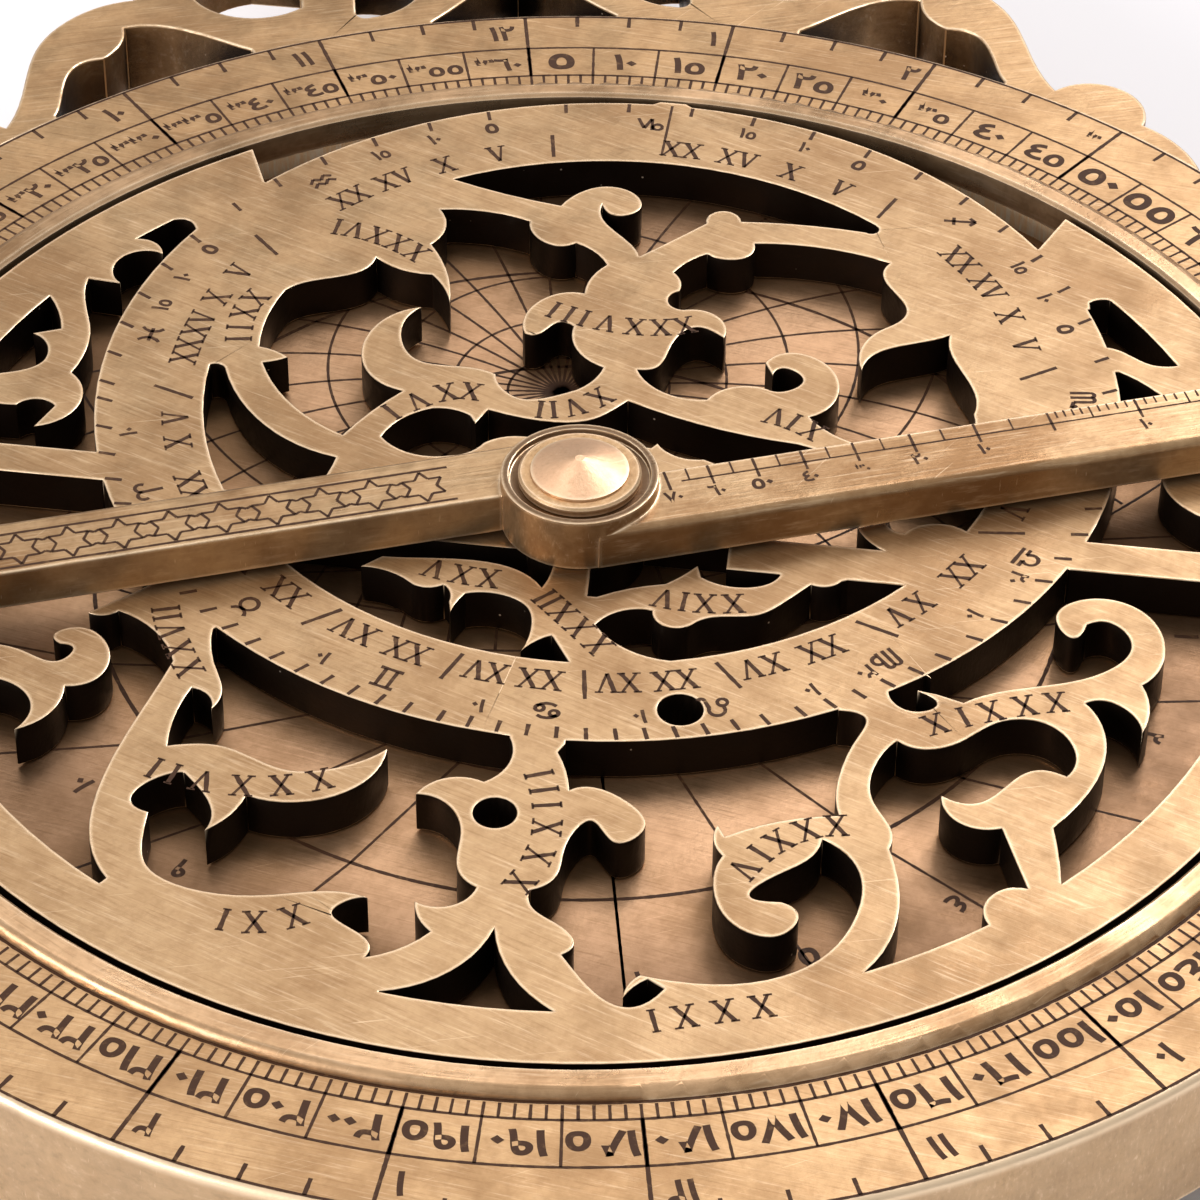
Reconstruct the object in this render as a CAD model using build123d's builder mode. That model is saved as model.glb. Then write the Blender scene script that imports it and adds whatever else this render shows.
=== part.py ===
from build123d import *
import os
from math import atan2, cos, pi, radians, sin, sqrt, tan

# Planispheric astrolabe in brass, lying face up.
# Millimetres. The origin is on the turning axis, level with the face of the limb.
# +Z points out of the face and +Y points to the throne and its suspension ring.

# Limb: the thick graduated rim
limb_outer_r = 60.6
limb_inner_r = 48.9
limb_edge_round = 0.5
mater_depth = 10.1
back_thickness = 2.1
back_seat_r = 58.5

# Lip ring: the raised ring let into the inner edge of the limb
lip_width = 2.1
lip_proud = 0.7
lip_sunk = 1.5
lip_slope = 0.8
lip_round = 0.25

# Latitude plates stacked in the hollow of the limb
plate_count = 3
plate_thickness = 1.75
plate_play = 0.3
peg_r = 1.1
peg_edge_gap = 1.3
peg_sunk = 1.4
peg_below_top = 0.25

# Rete: the openwork star map, drawn for a radius of 48.4 and scaled to rete_r
rete_play = 0.5
rete_thickness = 3.0
rete_band = 4.2
rete_lift = 0.15
rete_boss_r = 4.25
rete_turn = 12.0
drawn_rete_r = 48.4
obliquity = 23.44
ecliptic_width = 7.33
index_reach = 0.3
index_half_width = 1.0
index_flare = 0.8
low_hole_r = 1.35
side_hole_r = 1.45

# Rule: the bar that turns over the face
rule_turn = 10.0
rule_reach = 59.0
rule_width = 5.2
rule_rise = 0.2
rule_thickness = 2.9
rule_tip_back = 4.8
rule_edge_round = 0.6
hub_r = 5.15
hub_rise = 0.9
hub_rim = 0.55
hub_recess = 0.4
hub_boss_r = 4.6
hub_boss_gap = 0.1

# Centre pin, its collar, the washer behind and the wedge that locks them
pin_r = 2.4
pin_play = 0.05
head_r = 3.2
head_edge = 0.15
head_cone = 0.9
head_tip_r = 0.3
collar_r = 4.0
collar_thickness = 0.6
collar_gap = 0.05
washer_r = 5.5
washer_thickness = 0.6
stack_gap = 0.05
wedge_thickness = 1.5
wedge_blade_width = 2.1
wedge_play = 0.05
wedge_tip_x = -8.0
wedge_head_x = 5.0
wedge_head_length = 9.0
wedge_head_width = 6.0
pin_end_wall = 0.8

# Alidade: the sighting bar across the back, with two folding sights
alidade_gap = 0.1
alidade_thickness = 2.2
alidade_width = 10.4
alidade_hub_r = 8.0
alidade_reach = 57.5
alidade_taper = 6.5
sight_at = 47.0
sight_axis_drop = 1.3
lug_r = 1.9
lug_width = 1.9
sight_pin_r = 0.6
sight_pin_play = 0.04
sight_knuckle_gap = 0.1
sight_side_play = 0.2
vane_height = 14.0
vane_width = 9.6
vane_thickness = 1.6
vane_corner = 2.0
vane_clear = 0.3
sight_hole_r = 0.6
sight_hole_at = 10.5
low_sight_hole_r = 1.1
low_sight_hole_at = 6.0

# Throne: the openwork crest, drawn for a limb radius of 60.6
drawn_limb_r = 60.6
throne_thickness = 6.0
throne_below_face = 0.5
throne_rim_gap = 0.15
throne_hole_r = 2.6
throne_hole_y = 76.6
tenon_depth = 5.2
tenon_root = 1.4
tenon_width = 7.0
tenon_thickness = 1.6
tenon_play = 0.05
tenon_angles = (-44.5, -13.5, 13.5, 44.5)

# Rivets
rivet_play = 0.03
limb_rivet_r = 1.0
limb_rivet_count = 8
limb_rivet_circle = 54.4
limb_rivet_grip = 4.5
throne_rivet_r = 1.2
throne_rivet_grip = 5.6
throne_rivet_circle = 56.9

# Suspension: tang, shackle, cross pin and ring
tang_r = 4.9
tang_y = 87.5
tang_thickness = 3.4
shackle_side_gap = 0.2
shackle_thickness = 1.6
shackle_ear_r = 4.2
shackle_top_r = 2.5
shackle_relief = 0.3
shackle_pin_r = 1.4
shackle_pin_play = 0.05
rivet_head_r = 2.4
rivet_head_height = 0.7
rivet_flat_r = 0.7
rivet_head_gap = 0.1
ring_r = 13.0
ring_wire_r = 1.5
ring_play = 0.35

# Levels and sizes that follow
floor_z = back_thickness - mater_depth
back_z = -mater_depth
plates_top_z = floor_z + plate_count * plate_thickness
rete_r = limb_inner_r - rete_play
rete_bottom_z = plates_top_z + rete_lift
rete_top_z = rete_bottom_z + rete_thickness
rule_bottom_z = lip_proud + rule_rise
rule_top_z = rule_bottom_z + rule_thickness
hub_top_z = rule_top_z + hub_rise
collar_bottom_z = hub_top_z - hub_recess + collar_gap
head_z = collar_bottom_z + collar_thickness
bore_r = pin_r + pin_play
alidade_top_z = back_z - alidade_gap
alidade_back_z = alidade_top_z - alidade_thickness
washer_top_z = alidade_back_z - stack_gap
wedge_top_z = washer_top_z - washer_thickness - stack_gap
wedge_bottom_z = wedge_top_z - wedge_thickness
pin_end_z = wedge_bottom_z - wedge_play - pin_end_wall
sight_axis_z = alidade_back_z - sight_axis_drop
throne_top_z = -throne_below_face
throne_bottom_z = throne_top_z - throne_thickness
throne_mid_z = (throne_top_z + throne_bottom_z) / 2

# Circles of the sky on the rete, from the tilt of the ecliptic
rete_size = rete_r / drawn_rete_r
equator_r = rete_r * tan(radians((90 - obliquity) / 2))
cancer_r = equator_r * tan(radians((90 - obliquity) / 2))
ecliptic_r = (rete_r + cancer_r) / 2
ecliptic_y = (rete_r - cancer_r) / 2


def outline(start, *stretches, size=1.0):
    """A closed outline, corner to corner: two points a line, three an arc, more a smooth curve."""
    here = start
    with BuildLine() as drawn:
        for stretch in stretches:
            spots = [(x * size, y * size) for x, y in (here, *stretch)]
            if len(spots) == 2:
                Line(*spots)
            elif len(spots) == 3:
                ThreePointArc(*spots)
            else:
                Spline(*spots)
            here = stretch[-1]
    return drawn.edges()


def round_centre(centre_y, radius, start, end):
    """Cross to a circle that lies within a ring, follow it the short way, and cross back to the end."""
    first = atan2(start[1] - centre_y, start[0])
    last = atan2(end[1] - centre_y, end[0])
    swing = (last - first + pi) % (2 * pi) - pi
    spots = []
    for share in (0, 0.5, 1):
        angle = first + swing * share
        spots.append((radius * cos(angle), centre_y + radius * sin(angle)))
    return [spots[0]], spots[1:], [end]


def under_ecliptic(start, end):
    """An edge that the ecliptic ring forms, whichever side of the ring the opening is on."""
    middle = (ecliptic_r - ecliptic_width / 2) / rete_size
    return round_centre(ecliptic_y / rete_size, middle, start, end)


def under_band(start, end):
    """An edge that the outer band forms."""
    return round_centre(0, (rete_r - rete_band / 2) / rete_size, start, end)


def polar(radius, degrees):
    """A point at a clock angle: zero at +Y, growing clockwise."""
    angle = radians(degrees)
    return radius * sin(angle), radius * cos(angle)


# Openings of the rete, inside the ecliptic ring
top_window = (
    (-14.3, 36.95),
    [(-11.0, 35.9), (-6.3, 34.9)],
    [(-5.6, 36.2), (-3.6, 37.65), (-1.2, 37.0), (-0.65, 35.4), (-1.6, 34.4), (-3.4, 35.45)],
    [(-3.2, 33.9), (-0.7, 31.0), (0.0, 29.7)],
    [(1.4, 31.2), (4.2, 34.3)],
    [(5.3, 35.95), (6.6, 34.85)],
    [(11.0, 35.1), (15.5, 34.85)],
    [(16.35, 35.4), (16.1, 35.75)],
    *under_ecliptic((16.1, 35.75), (-14.3, 36.95)),
)
left_window = (
    (-14.7, 33.2),
    [(-12.4, 33.45), (-9.8, 33.2), (-8.2, 32.75)],
    [(-7.6, 31.1), (-5.9, 30.1), (-4.6, 30.65)],
    [(-3.3, 29.9), (-2.1, 28.4)],
    [(-2.95, 26.9), (-3.2, 24.9)],
    [(-5.2, 24.5), (-6.7, 22.6), (-6.6, 19.75)],
    [(-5.6, 19.9), (-4.6, 21.3), (-3.4, 21.1)],
    [(-2.9, 18.6), (-0.75, 16.8)],
    [(-1.3, 15.2), (-2.2, 14.1)],
    [(-4.0, 13.0), (-5.8, 12.6), (-7.0, 13.3), (-7.9, 15.0)],
    [(-10.0, 15.5), (-13.4, 15.8), (-15.0, 18.5), (-14.1, 21.7)],
    [(-16.9, 19.2), (-17.0, 14.8), (-13.8, 12.3)],
    [(-15.6, 9.7), (-17.0, 7.0)],
    [(-21.0, 9.8), (-23.8, 14.0)],
    [(-22.95, 14.3), (-22.2, 14.8)],
    [(-23.2, 15.4), (-24.35, 15.7)],
    [(-24.45, 19.0), (-23.8, 22.2)],
    [(-21.4, 23.9), (-19.3, 24.9), (-18.2, 26.9)],
    [(-16.4, 25.8), (-14.0, 25.5)],
    [(-12.95, 24.1), (-12.25, 22.4)],
    [(-13.0, 25.9), (-14.65, 29.0)],
    [(-13.95, 31.2), (-14.7, 33.2)],
)
right_window = (
    (7.85, 32.4),
    [(12.7, 32.55), (17.5, 31.5)],
    [(17.2, 29.7), (18.9, 26.9), (18.0, 24.1)],
    [(16.5, 21.9), (16.7, 19.0)],
    [(17.9, 21.4), (20.2, 22.6), (22.3, 23.8)],
    [(22.6, 21.6), (24.3, 18.1), (24.6, 15.3)],
    [(24.3, 12.6), (21.0, 10.75), (16.6, 11.2), (13.7, 13.4)],
    [(15.4, 16.3), (14.4, 19.2), (11.8, 20.3), (10.1, 18.9)],
    [(10.75, 17.6)],
    [(11.5, 18.5), (12.85, 17.4), (12.0, 16.1), (10.6, 16.0)],
    [(8.5, 16.05), (6.65, 14.3)],
    [(3.7, 14.65), (1.55, 16.9)],
    [(2.8, 17.3), (3.5, 19.8), (4.5, 21.95), (7.0, 21.25)],
    [(6.3, 23.6), (4.0, 24.05)],
    [(2.65, 24.9), (3.3, 26.1)],
    [(3.3, 27.1), (2.65, 28.2)],
    [(3.5, 29.6), (4.7, 30.7)],
    [(5.8, 30.25), (7.2, 30.5), (7.85, 32.4)],
)
west_crescent = (
    (-27.5, 12.9),
    [(-26.9, 13.4), (-26.2, 13.0)],
    [(-24.2, 9.3), (-20.8, 6.1), (-17.0, 4.6)],
    [(-17.4, 2.3), (-18.2, 0.2)],
    [(-23.8, 0.2)],
    *under_ecliptic((-23.8, 0.2), (-27.5, 12.9)),
)
north_window = (
    (-14.4, 7.2),
    [(-13.5, 9.1), (-11.5, 10.7)],
    [(-10.1, 10.75), (-8.9, 10.3)],
    [(-8.4, 9.5)],
    [(-7.8, 11.1)],
    [(-4.0, 10.4), (-0.5, 11.2), (0.4, 12.1), (1.4, 13.4)],
    [(5.0, 12.0), (13.2, 10.4)],
    [(18.5, 9.2), (26.5, 9.2)],
    *under_ecliptic((26.5, 9.2), (26.6, 6.0)),
    [(26.0, 4.4), (25.3, 2.8)],
    [(23.5, 3.5), (22.0, 3.1), (21.1, 2.15)],
    [(20.3, 2.4), (19.8, 3.1)],
    [(18.0, 2.3)],
    [(18.8, 1.1), (19.9, 0.25)],
    [(12.5, 0.25)],
    [(11.2, 4.8), (7.2, 7.9)],
    [(4.9, 8.2), (3.95, 9.15)],
    [(3.6, 8.6)],
    [(-5.0, 8.6)],
    [(-6.4, 8.3), (-7.6, 7.4)],
    [(-8.4, 6.4), (-9.5, 5.9)],
    [(-12.0, 5.7), (-14.4, 7.2)],
)
south_west_window = (
    (-1.1, -4.1),
    [(-1.2, -5.4), (-1.5, -6.6)],
    [(-3.2, -5.15), (-8.0, -4.6), (-12.2, -5.0)],
    [(-13.4, -6.2)],
    [(-11.6, -6.4), (-10.0, -7.3)],
    [(-9.2, -7.65), (-7.8, -7.2)],
    [(-7.3, -7.9), (-7.2, -8.8)],
    [(-6.95, -9.8)],
    [(-6.7, -8.8), (-6.3, -7.9)],
    [(-4.3, -7.6), (-2.2, -8.6), (-1.65, -10.2), (-2.15, -13.5)],
    *under_ecliptic((-2.15, -13.5), (-21.4, -3.0)),
    [(-3.0, -3.0)],
    [(-1.1, -3.0)],
    [(-1.1, -4.1)],
)
south_triangle = (
    (-2.1, -13.35),
    [(-1.3, -12.0), (-0.2, -11.1)],
    [(1.3, -13.6)],
    *under_ecliptic((1.3, -13.6), (-2.1, -13.35)),
)
south_east_window = (
    (2.4, -9.7),
    [(3.6, -8.3), (5.8, -7.8)],
    [(7.1, -9.3), (8.5, -8.8)],
    [(9.6, -7.95), (12.5, -7.3), (14.0, -5.9), (15.6, -3.8)],
    [(16.6, -3.9), (17.5, -3.2)],
    [(17.9, -3.0)],
    [(22.0, -3.0)],
    *under_ecliptic((22.0, -3.0), (7.8, -12.45)),
    [(4.6, -11.7), (2.4, -9.7)],
)
hub_window = (
    (1.35, -4.5),
    [(1.45, -6.0), (1.5, -7.0)],
    [(2.1, -7.0)],
    [(3.9, -5.95), (6.3, -5.1)],
    [(7.3, -4.1), (8.15, -3.0)],
    [(8.5, -4.1)],
    [(9.6, -4.6), (11.5, -4.7), (12.9, -4.1), (13.55, -3.05)],
    [(10.0, -3.05)],
    [(9.9, 0.0)],
    [(2.0, 0.0)],
    [(1.35, -2.0)],
    [(1.35, -4.5)],
)

# Openings of the rete, between the ecliptic ring and the outer band
south_west_scrolls = (
    (-21.6, -13.6),
    *under_ecliptic((-21.6, -13.6), (-1.4, -21.0)),
    [(-1.0, -22.4), (-2.35, -25.2)],
    [(-4.6, -25.15), (-6.3, -26.9)],
    [(-4.5, -27.3), (-3.1, -29.5), (-2.8, -32.8), (-1.35, -34.4)],
    [(-1.9, -35.6), (-4.8, -36.1)],
    [(-4.4, -37.4), (-3.45, -38.5)],
    [(-4.8, -39.95), (-6.9, -41.15)],
    [(-7.5, -39.3), (-9.5, -37.6), (-8.9, -36.75), (-7.6, -36.2)],
    [(-10.2, -36.0), (-13.0, -36.7), (-18.0, -37.0), (-21.3, -35.3), (-22.0, -32.8), (-22.1, -30.8)],
    [(-23.4, -29.8), (-22.3, -27.8), (-20.7, -27.0)],
    [(-19.3, -28.5), (-18.4, -30.0), (-18.4, -31.9)],
    [(-17.1, -30.3), (-16.5, -28.5)],
    [(-13.5, -28.7), (-10.5, -27.3), (-8.7, -23.1)],
    [(-11.0, -25.0), (-14.5, -25.9), (-19.0, -24.3), (-20.8, -24.4), (-22.2, -24.8)],
    [(-22.3, -22.0), (-21.8, -19.3)],
    [(-20.7, -19.8), (-20.2, -21.1)],
    [(-19.9, -19.1), (-20.8, -17.0), (-21.4, -15.2), (-21.6, -13.6)],
)
west_window = (
    (-45.0, 0.0),
    [(-31.9, 0.0)],
    *under_ecliptic((-31.9, 0.0), (-25.9, -9.4)),
    [(-27.5, -11.0)],
    [(-29.8, -13.2)],
    [(-28.8, -13.35), (-27.9, -12.75)],
    [(-25.4, -14.2), (-23.5, -17.0)],
    [(-24.1, -20.0), (-25.6, -29.0), (-25.1, -33.8), (-23.4, -36.8)],
    *under_band((-23.4, -36.8), (-38.5, -22.0)),
    [(-36.5, -20.8), (-34.2, -20.2), (-32.1, -21.2), (-31.9, -24.7)],
    [(-30.0, -22.8), (-29.7, -20.3)],
    [(-27.6, -18.8), (-28.0, -15.9), (-30.3, -14.7), (-31.5, -15.6), (-30.9, -16.4)],
    [(-30.0, -16.7), (-30.5, -17.9), (-33.0, -17.4), (-37.0, -17.2), (-40.2, -18.2)],
    *under_band((-40.2, -18.2), (-45.0, 0.0)),
)
north_west_window = (
    (-45.0, 2.85),
    [(-32.9, 2.85)],
    *under_ecliptic((-32.9, 2.85), (-31.4, 28.4)),
    [(-32.6, 29.4), (-34.0, 28.6), (-34.9, 27.6), (-35.4, 26.6)],
    [(-34.1, 26.5), (-33.1, 25.2)],
    [(-34.5, 25.3), (-35.3, 21.4)],
    [(-37.6, 21.6)],
    [(-37.3, 19.2), (-36.1, 15.5), (-36.0, 13.0), (-36.4, 11.0)],
    [(-35.1, 7.7), (-37.6, 4.9)],
    [(-36.7, 7.3)],
    [(-37.9, 7.85), (-39.3, 7.0)],
    [(-41.0, 7.0), (-44.5, 8.4)],
    *under_band((-44.5, 8.4), (-45.0, 2.85)),
)
west_leaf = (
    (-39.8, 19.2),
    [(-38.9, 17.7), (-38.2, 15.7)],
    [(-40.0, 14.9)],
    [(-38.6, 13.4), (-38.6, 12.0), (-40.0, 10.7), (-44.0, 9.8)],
    *under_band((-44.0, 9.8), (-40.6, 19.4)),
    [(-39.8, 19.2)],
)
north_east_leaf = (
    (31.6, 28.9),
    [(31.7, 28.2)],
    *under_ecliptic((31.7, 28.2), (33.1, 24.0)),
    [(34.3, 23.6), (36.2, 22.5), (37.5, 22.5), (38.6, 23.0)],
    *under_band((38.6, 23.0), (34.0, 28.6)),
    [(32.9, 29.4), (31.6, 28.9)],
)
east_window = (
    (34.0, 21.4),
    *under_ecliptic((34.0, 21.4), (33.0, 3.05)),
    [(44.8, 3.05)],
    *under_band((44.8, 3.05), (44.6, 6.9)),
    [(40.0, 6.8), (37.6, 9.6), (37.8, 13.0), (38.5, 16.4), (36.6, 19.6), (34.0, 21.4)],
)
east_scrolls = (
    (32.0, 0.1),
    [(45.0, 0.1)],
    *under_band((45.0, 0.1), (33.3, -29.3)),
    [(33.0, -26.8), (32.5, -24.3)],
    [(34.4, -21.0), (35.3, -17.5), (34.8, -14.3), (33.75, -12.7)],
    [(35.0, -12.3), (36.4, -13.0), (37.4, -15.0)],
    [(37.8, -12.8), (37.2, -10.5)],
    [(38.5, -7.0), (37.0, -3.5), (33.5, -2.6), (31.4, -4.8), (32.5, -6.6), (33.4, -5.2)],
    [(34.9, -4.8), (36.3, -6.6), (34.6, -9.7), (30.5, -11.6), (26.2, -13.75)],
    [(24.5, -13.2)],
    [(23.2, -13.0)],
    [(24.4, -14.5), (23.2, -15.0), (21.5, -13.6), (22.2, -11.5), (24.0, -11.7)],
    *under_ecliptic((24.0, -11.7), (32.0, 0.1)),
)
south_east_leaf = (
    (22.4, -17.85),
    [(24.2, -18.4), (26.2, -17.5), (28.6, -15.2), (31.3, -14.9), (33.4, -17.4), (33.0, -19.6)],
    [(30.3, -19.8), (28.4, -22.3), (25.5, -22.4)],
    [(27.0, -24.8), (29.4, -24.8)],
    [(30.3, -27.2), (31.3, -29.8)],
    [(29.1, -30.8), (29.6, -33.6)],
    *under_band((29.6, -33.6), (22.0, -38.6)),
    [(23.8, -34.0), (23.5, -29.8), (22.8, -27.6)],
    [(22.7, -25.7), (21.4, -23.4), (21.3, -20.2), (22.4, -17.85)],
)
south_scrolls = (
    (2.1, -21.1),
    *under_ecliptic((2.1, -21.1), (18.6, -15.6)),
    [(20.3, -16.2), (19.9, -18.0), (19.2, -21.0), (19.5, -25.1)],
    [(16.1, -26.05), (12.85, -27.9)],
    [(12.3, -26.95)],
    [(12.2, -28.4), (12.9, -29.6)],
    [(12.8, -33.0), (14.6, -35.6), (17.0, -35.9), (18.0, -34.2), (16.8, -33.05)],
    [(14.9, -32.6), (16.0, -31.1), (17.8, -29.5), (18.7, -27.3)],
    [(21.2, -29.9), (21.2, -34.2), (19.3, -37.8), (16.0, -39.9), (12.5, -40.5), (9.3, -40.3)],
    [(8.65, -41.3), (8.55, -42.3)],
    [(9.15, -41.2), (9.8, -40.55)],
    [(10.85, -41.2)],
    [(8.3, -42.95), (6.1, -41.3), (4.5, -39.3)],
    [(5.1, -38.2), (4.2, -37.0), (2.6, -36.0), (1.85, -34.2)],
    [(3.3, -32.6), (3.5, -29.7), (4.7, -27.7), (6.4, -29.4), (7.9, -28.1), (6.6, -25.7), (2.95, -25.2)],
    [(2.5, -23.5), (1.75, -21.9)],
    [(2.1, -21.1)],
)
south_spade = (
    (0.25, -37.7),
    [(-1.4, -41.2), (-5.6, -43.8)],
    *under_band((-5.6, -43.8), (4.8, -44.0)),
    [(1.7, -41.2), (0.25, -37.7)],
)
north_cutaway = (
    (-27.7, 34.7),
    [(-29.3, 38.5)],
    [(-34.9, 52.0)],
    [(34.9, 52.0)],
    [(29.3, 38.5)],
    [(27.7, 34.7)],
    *under_ecliptic((27.7, 34.7), (-27.7, 34.7)),
)
rete_openings = (
    top_window,
    left_window,
    right_window,
    west_crescent,
    north_window,
    south_west_window,
    south_triangle,
    south_east_window,
    hub_window,
    south_west_scrolls,
    west_window,
    north_west_window,
    west_leaf,
    north_east_leaf,
    east_window,
    east_scrolls,
    south_east_leaf,
    south_scrolls,
    south_spade,
    north_cutaway,
)
low_hole = (-1.25, -27.85)
side_hole = (8.75, -16.95)

# Right half of the throne and its openings, which are mirrored to the left
throne_edge = (
    (0.0, 50.0),
    [(0.0, 84.0)],
    [(tang_r, 84.0)],
    [(5.9, 82.3), (8.4, 81.4)],
    [(15.2, 81.4), (19.8, 76.6)],
    [(27.3, 73.2), (29.3, 65.2)],
    [(33.7, 63.3), (36.4, 59.6), (37.4, 54.4), (38.6, 48.9)],
    [(43.4, 48.8), (44.4, 44.0)],
    [(46.4, 41.6), (47.6, 37.9)],
    [(40.0, 30.0)],
    [(0.0, 50.0)],
)
side_window = (
    (20.6, 57.9),
    [(24.2, 60.1), (27.6, 61.5), (30.1, 61.4)],
    [(30.3, 59.2), (31.6, 57.4)],
    [(33.6, 56.5), (34.5, 53.5), (35.0, 50.2)],
    [(34.0, 48.0)],
    [(20.0, 56.0)],
    [(20.6, 57.9)],
)
outer_light = (
    (16.75, 63.4),
    [(20.3, 62.2), (24.7, 64.9)],
    [(24.9, 69.6), (20.6, 73.0)],
    [(16.75, 72.2)],
    [(16.75, 63.4)],
)
inner_light = (
    (12.65, 62.4),
    [(12.3, 61.8), (11.5, 61.75)],
    [(8.6, 63.4), (7.4, 66.6)],
    [(9.4, 70.2), (12.65, 71.0)],
    [(12.65, 62.4)],
)
middle_light = (
    (0.0, 58.0),
    [(6.0, 59.0)],
    [(6.95, 60.8)],
    [(3.7, 64.3), (0.0, 69.5)],
    [(0.0, 58.0)],
)
throne_size = limb_outer_r / drawn_limb_r
throne_shift = (throne_size - 1) * drawn_limb_r
shackle_pin_y = tang_y + throne_shift
tang_top_y = shackle_pin_y + tang_r

# Limb: a turned rim with a seat for the lip ring, a seat for the back and the throne's mortises
with BuildPart() as limb:
    with BuildSketch(Plane.XZ):
        with BuildLine():
            Polyline(
                (limb_inner_r, floor_z),
                (back_seat_r, floor_z),
                (back_seat_r, back_z),
                (limb_outer_r, back_z),
                (limb_outer_r, -limb_edge_round),
            )
            RadiusArc((limb_outer_r, -limb_edge_round), (limb_outer_r - limb_edge_round, 0), -limb_edge_round)
            Polyline(
                (limb_outer_r - limb_edge_round, 0),
                (limb_inner_r + lip_width, 0),
                (limb_inner_r + lip_width, -lip_sunk),
                (limb_inner_r, -lip_sunk),
                (limb_inner_r, floor_z),
            )
        make_face()
    revolve(axis=Axis.Z)
    for tenon_angle in tenon_angles:
        mortise_x, mortise_y = polar(limb_outer_r + tenon_root - (tenon_depth + tenon_root) / 2, tenon_angle)
        with Locations(Location((mortise_x, mortise_y, throne_mid_z), (0, 0, -tenon_angle))):
            Box(
                tenon_width + 2 * tenon_play,
                tenon_depth + tenon_root + 2 * tenon_play,
                tenon_thickness + 2 * tenon_play,
                mode=Mode.SUBTRACT,
            )
    with BuildSketch(Plane.XY.offset(floor_z)):
        with PolarLocations(limb_rivet_circle, limb_rivet_count, 180 / limb_rivet_count):
            Circle(limb_rivet_r + rivet_play)
    extrude(amount=limb_rivet_grip + rivet_play, mode=Mode.SUBTRACT)
    with BuildSketch(Plane.XY.offset(floor_z)):
        for tenon_angle in tenon_angles:
            with Locations(polar(throne_rivet_circle, tenon_angle)):
                Circle(throne_rivet_r + rivet_play)
    extrude(amount=throne_rivet_grip + rivet_play, mode=Mode.SUBTRACT)
limb.part.label = "limb"

# Lip ring: flat on top, sloping down to the graduated face
with BuildPart() as lip_ring:
    with BuildSketch(Plane.XZ):
        with BuildLine():
            Polyline(
                (limb_inner_r, -lip_sunk),
                (limb_inner_r + lip_width - rivet_play, -lip_sunk),
                (limb_inner_r + lip_width - rivet_play, 0),
            )
            ThreePointArc(
                (limb_inner_r + lip_width - rivet_play, 0),
                (limb_inner_r + lip_width - lip_slope / 3, lip_proud * 0.75),
                (limb_inner_r + lip_width - lip_slope, lip_proud),
            )
            Polyline(
                (limb_inner_r + lip_width - lip_slope, lip_proud),
                (limb_inner_r + lip_round, lip_proud),
                (limb_inner_r, lip_proud - lip_round),
                (limb_inner_r, -lip_sunk),
            )
        make_face()
    revolve(axis=Axis.Z)
lip_ring.part.label = "lip_ring"

# Back plate: a disc let into the back of the limb
with BuildPart() as back_plate:
    with BuildSketch(Plane.XY.offset(back_z)):
        Circle(back_seat_r - pin_play)
        Circle(bore_r, mode=Mode.SUBTRACT)
        with PolarLocations(limb_rivet_circle, limb_rivet_count, 180 / limb_rivet_count):
            Circle(limb_rivet_r + rivet_play, mode=Mode.SUBTRACT)
        for tenon_angle in tenon_angles:
            with Locations(polar(throne_rivet_circle, tenon_angle)):
                Circle(throne_rivet_r + rivet_play, mode=Mode.SUBTRACT)
    extrude(amount=back_thickness)
    with BuildSketch(Plane.XY.offset(floor_z)):
        with Locations((0, peg_edge_gap - limb_inner_r)):
            Circle(peg_r + rivet_play)
    extrude(amount=-peg_sunk, mode=Mode.SUBTRACT)
back_plate.part.label = "back_plate"

# Rivets that hold the back to the limb, and the throne's tenons in their mortises
with BuildPart() as limb_rivets:
    with BuildSketch(Plane.XY.offset(back_z)):
        with PolarLocations(limb_rivet_circle, limb_rivet_count, 180 / limb_rivet_count):
            Circle(limb_rivet_r)
    extrude(amount=back_thickness + limb_rivet_grip)
limb_rivets.part.label = "limb_rivets"

with BuildPart() as throne_rivets:
    with BuildSketch(Plane.XY.offset(back_z)):
        for tenon_angle in tenon_angles:
            with Locations(polar(throne_rivet_circle, tenon_angle)):
                Circle(throne_rivet_r)
    extrude(amount=back_thickness + throne_rivet_grip)
throne_rivets.part.label = "throne_rivets"

# Peg that keeps the latitude plates from turning
with BuildPart() as plate_peg:
    with BuildSketch(Plane.XY.offset(floor_z - peg_sunk)):
        with Locations((0, peg_edge_gap - limb_inner_r)):
            Circle(peg_r)
    extrude(amount=peg_sunk + plate_count * plate_thickness - peg_below_top)
plate_peg.part.label = "plate_peg"

# Latitude plates: discs with a notch over the peg
plates = []
for place in range(plate_count):
    with BuildPart() as latitude_plate:
        with BuildSketch(Plane.XY.offset(floor_z + place * plate_thickness)):
            Circle(limb_inner_r - plate_play)
            Circle(bore_r, mode=Mode.SUBTRACT)
            with Locations((0, peg_edge_gap - limb_inner_r)):
                Circle(peg_r + pin_play, mode=Mode.SUBTRACT)
            with Locations((0, -limb_inner_r)):
                Rectangle(2 * (peg_r + pin_play), 2 * peg_edge_gap, mode=Mode.SUBTRACT)
        extrude(amount=plate_thickness)
    latitude_plate.part.label = f"latitude_plate_{plate_count - place}"
    plates.append(latitude_plate.part)

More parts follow.
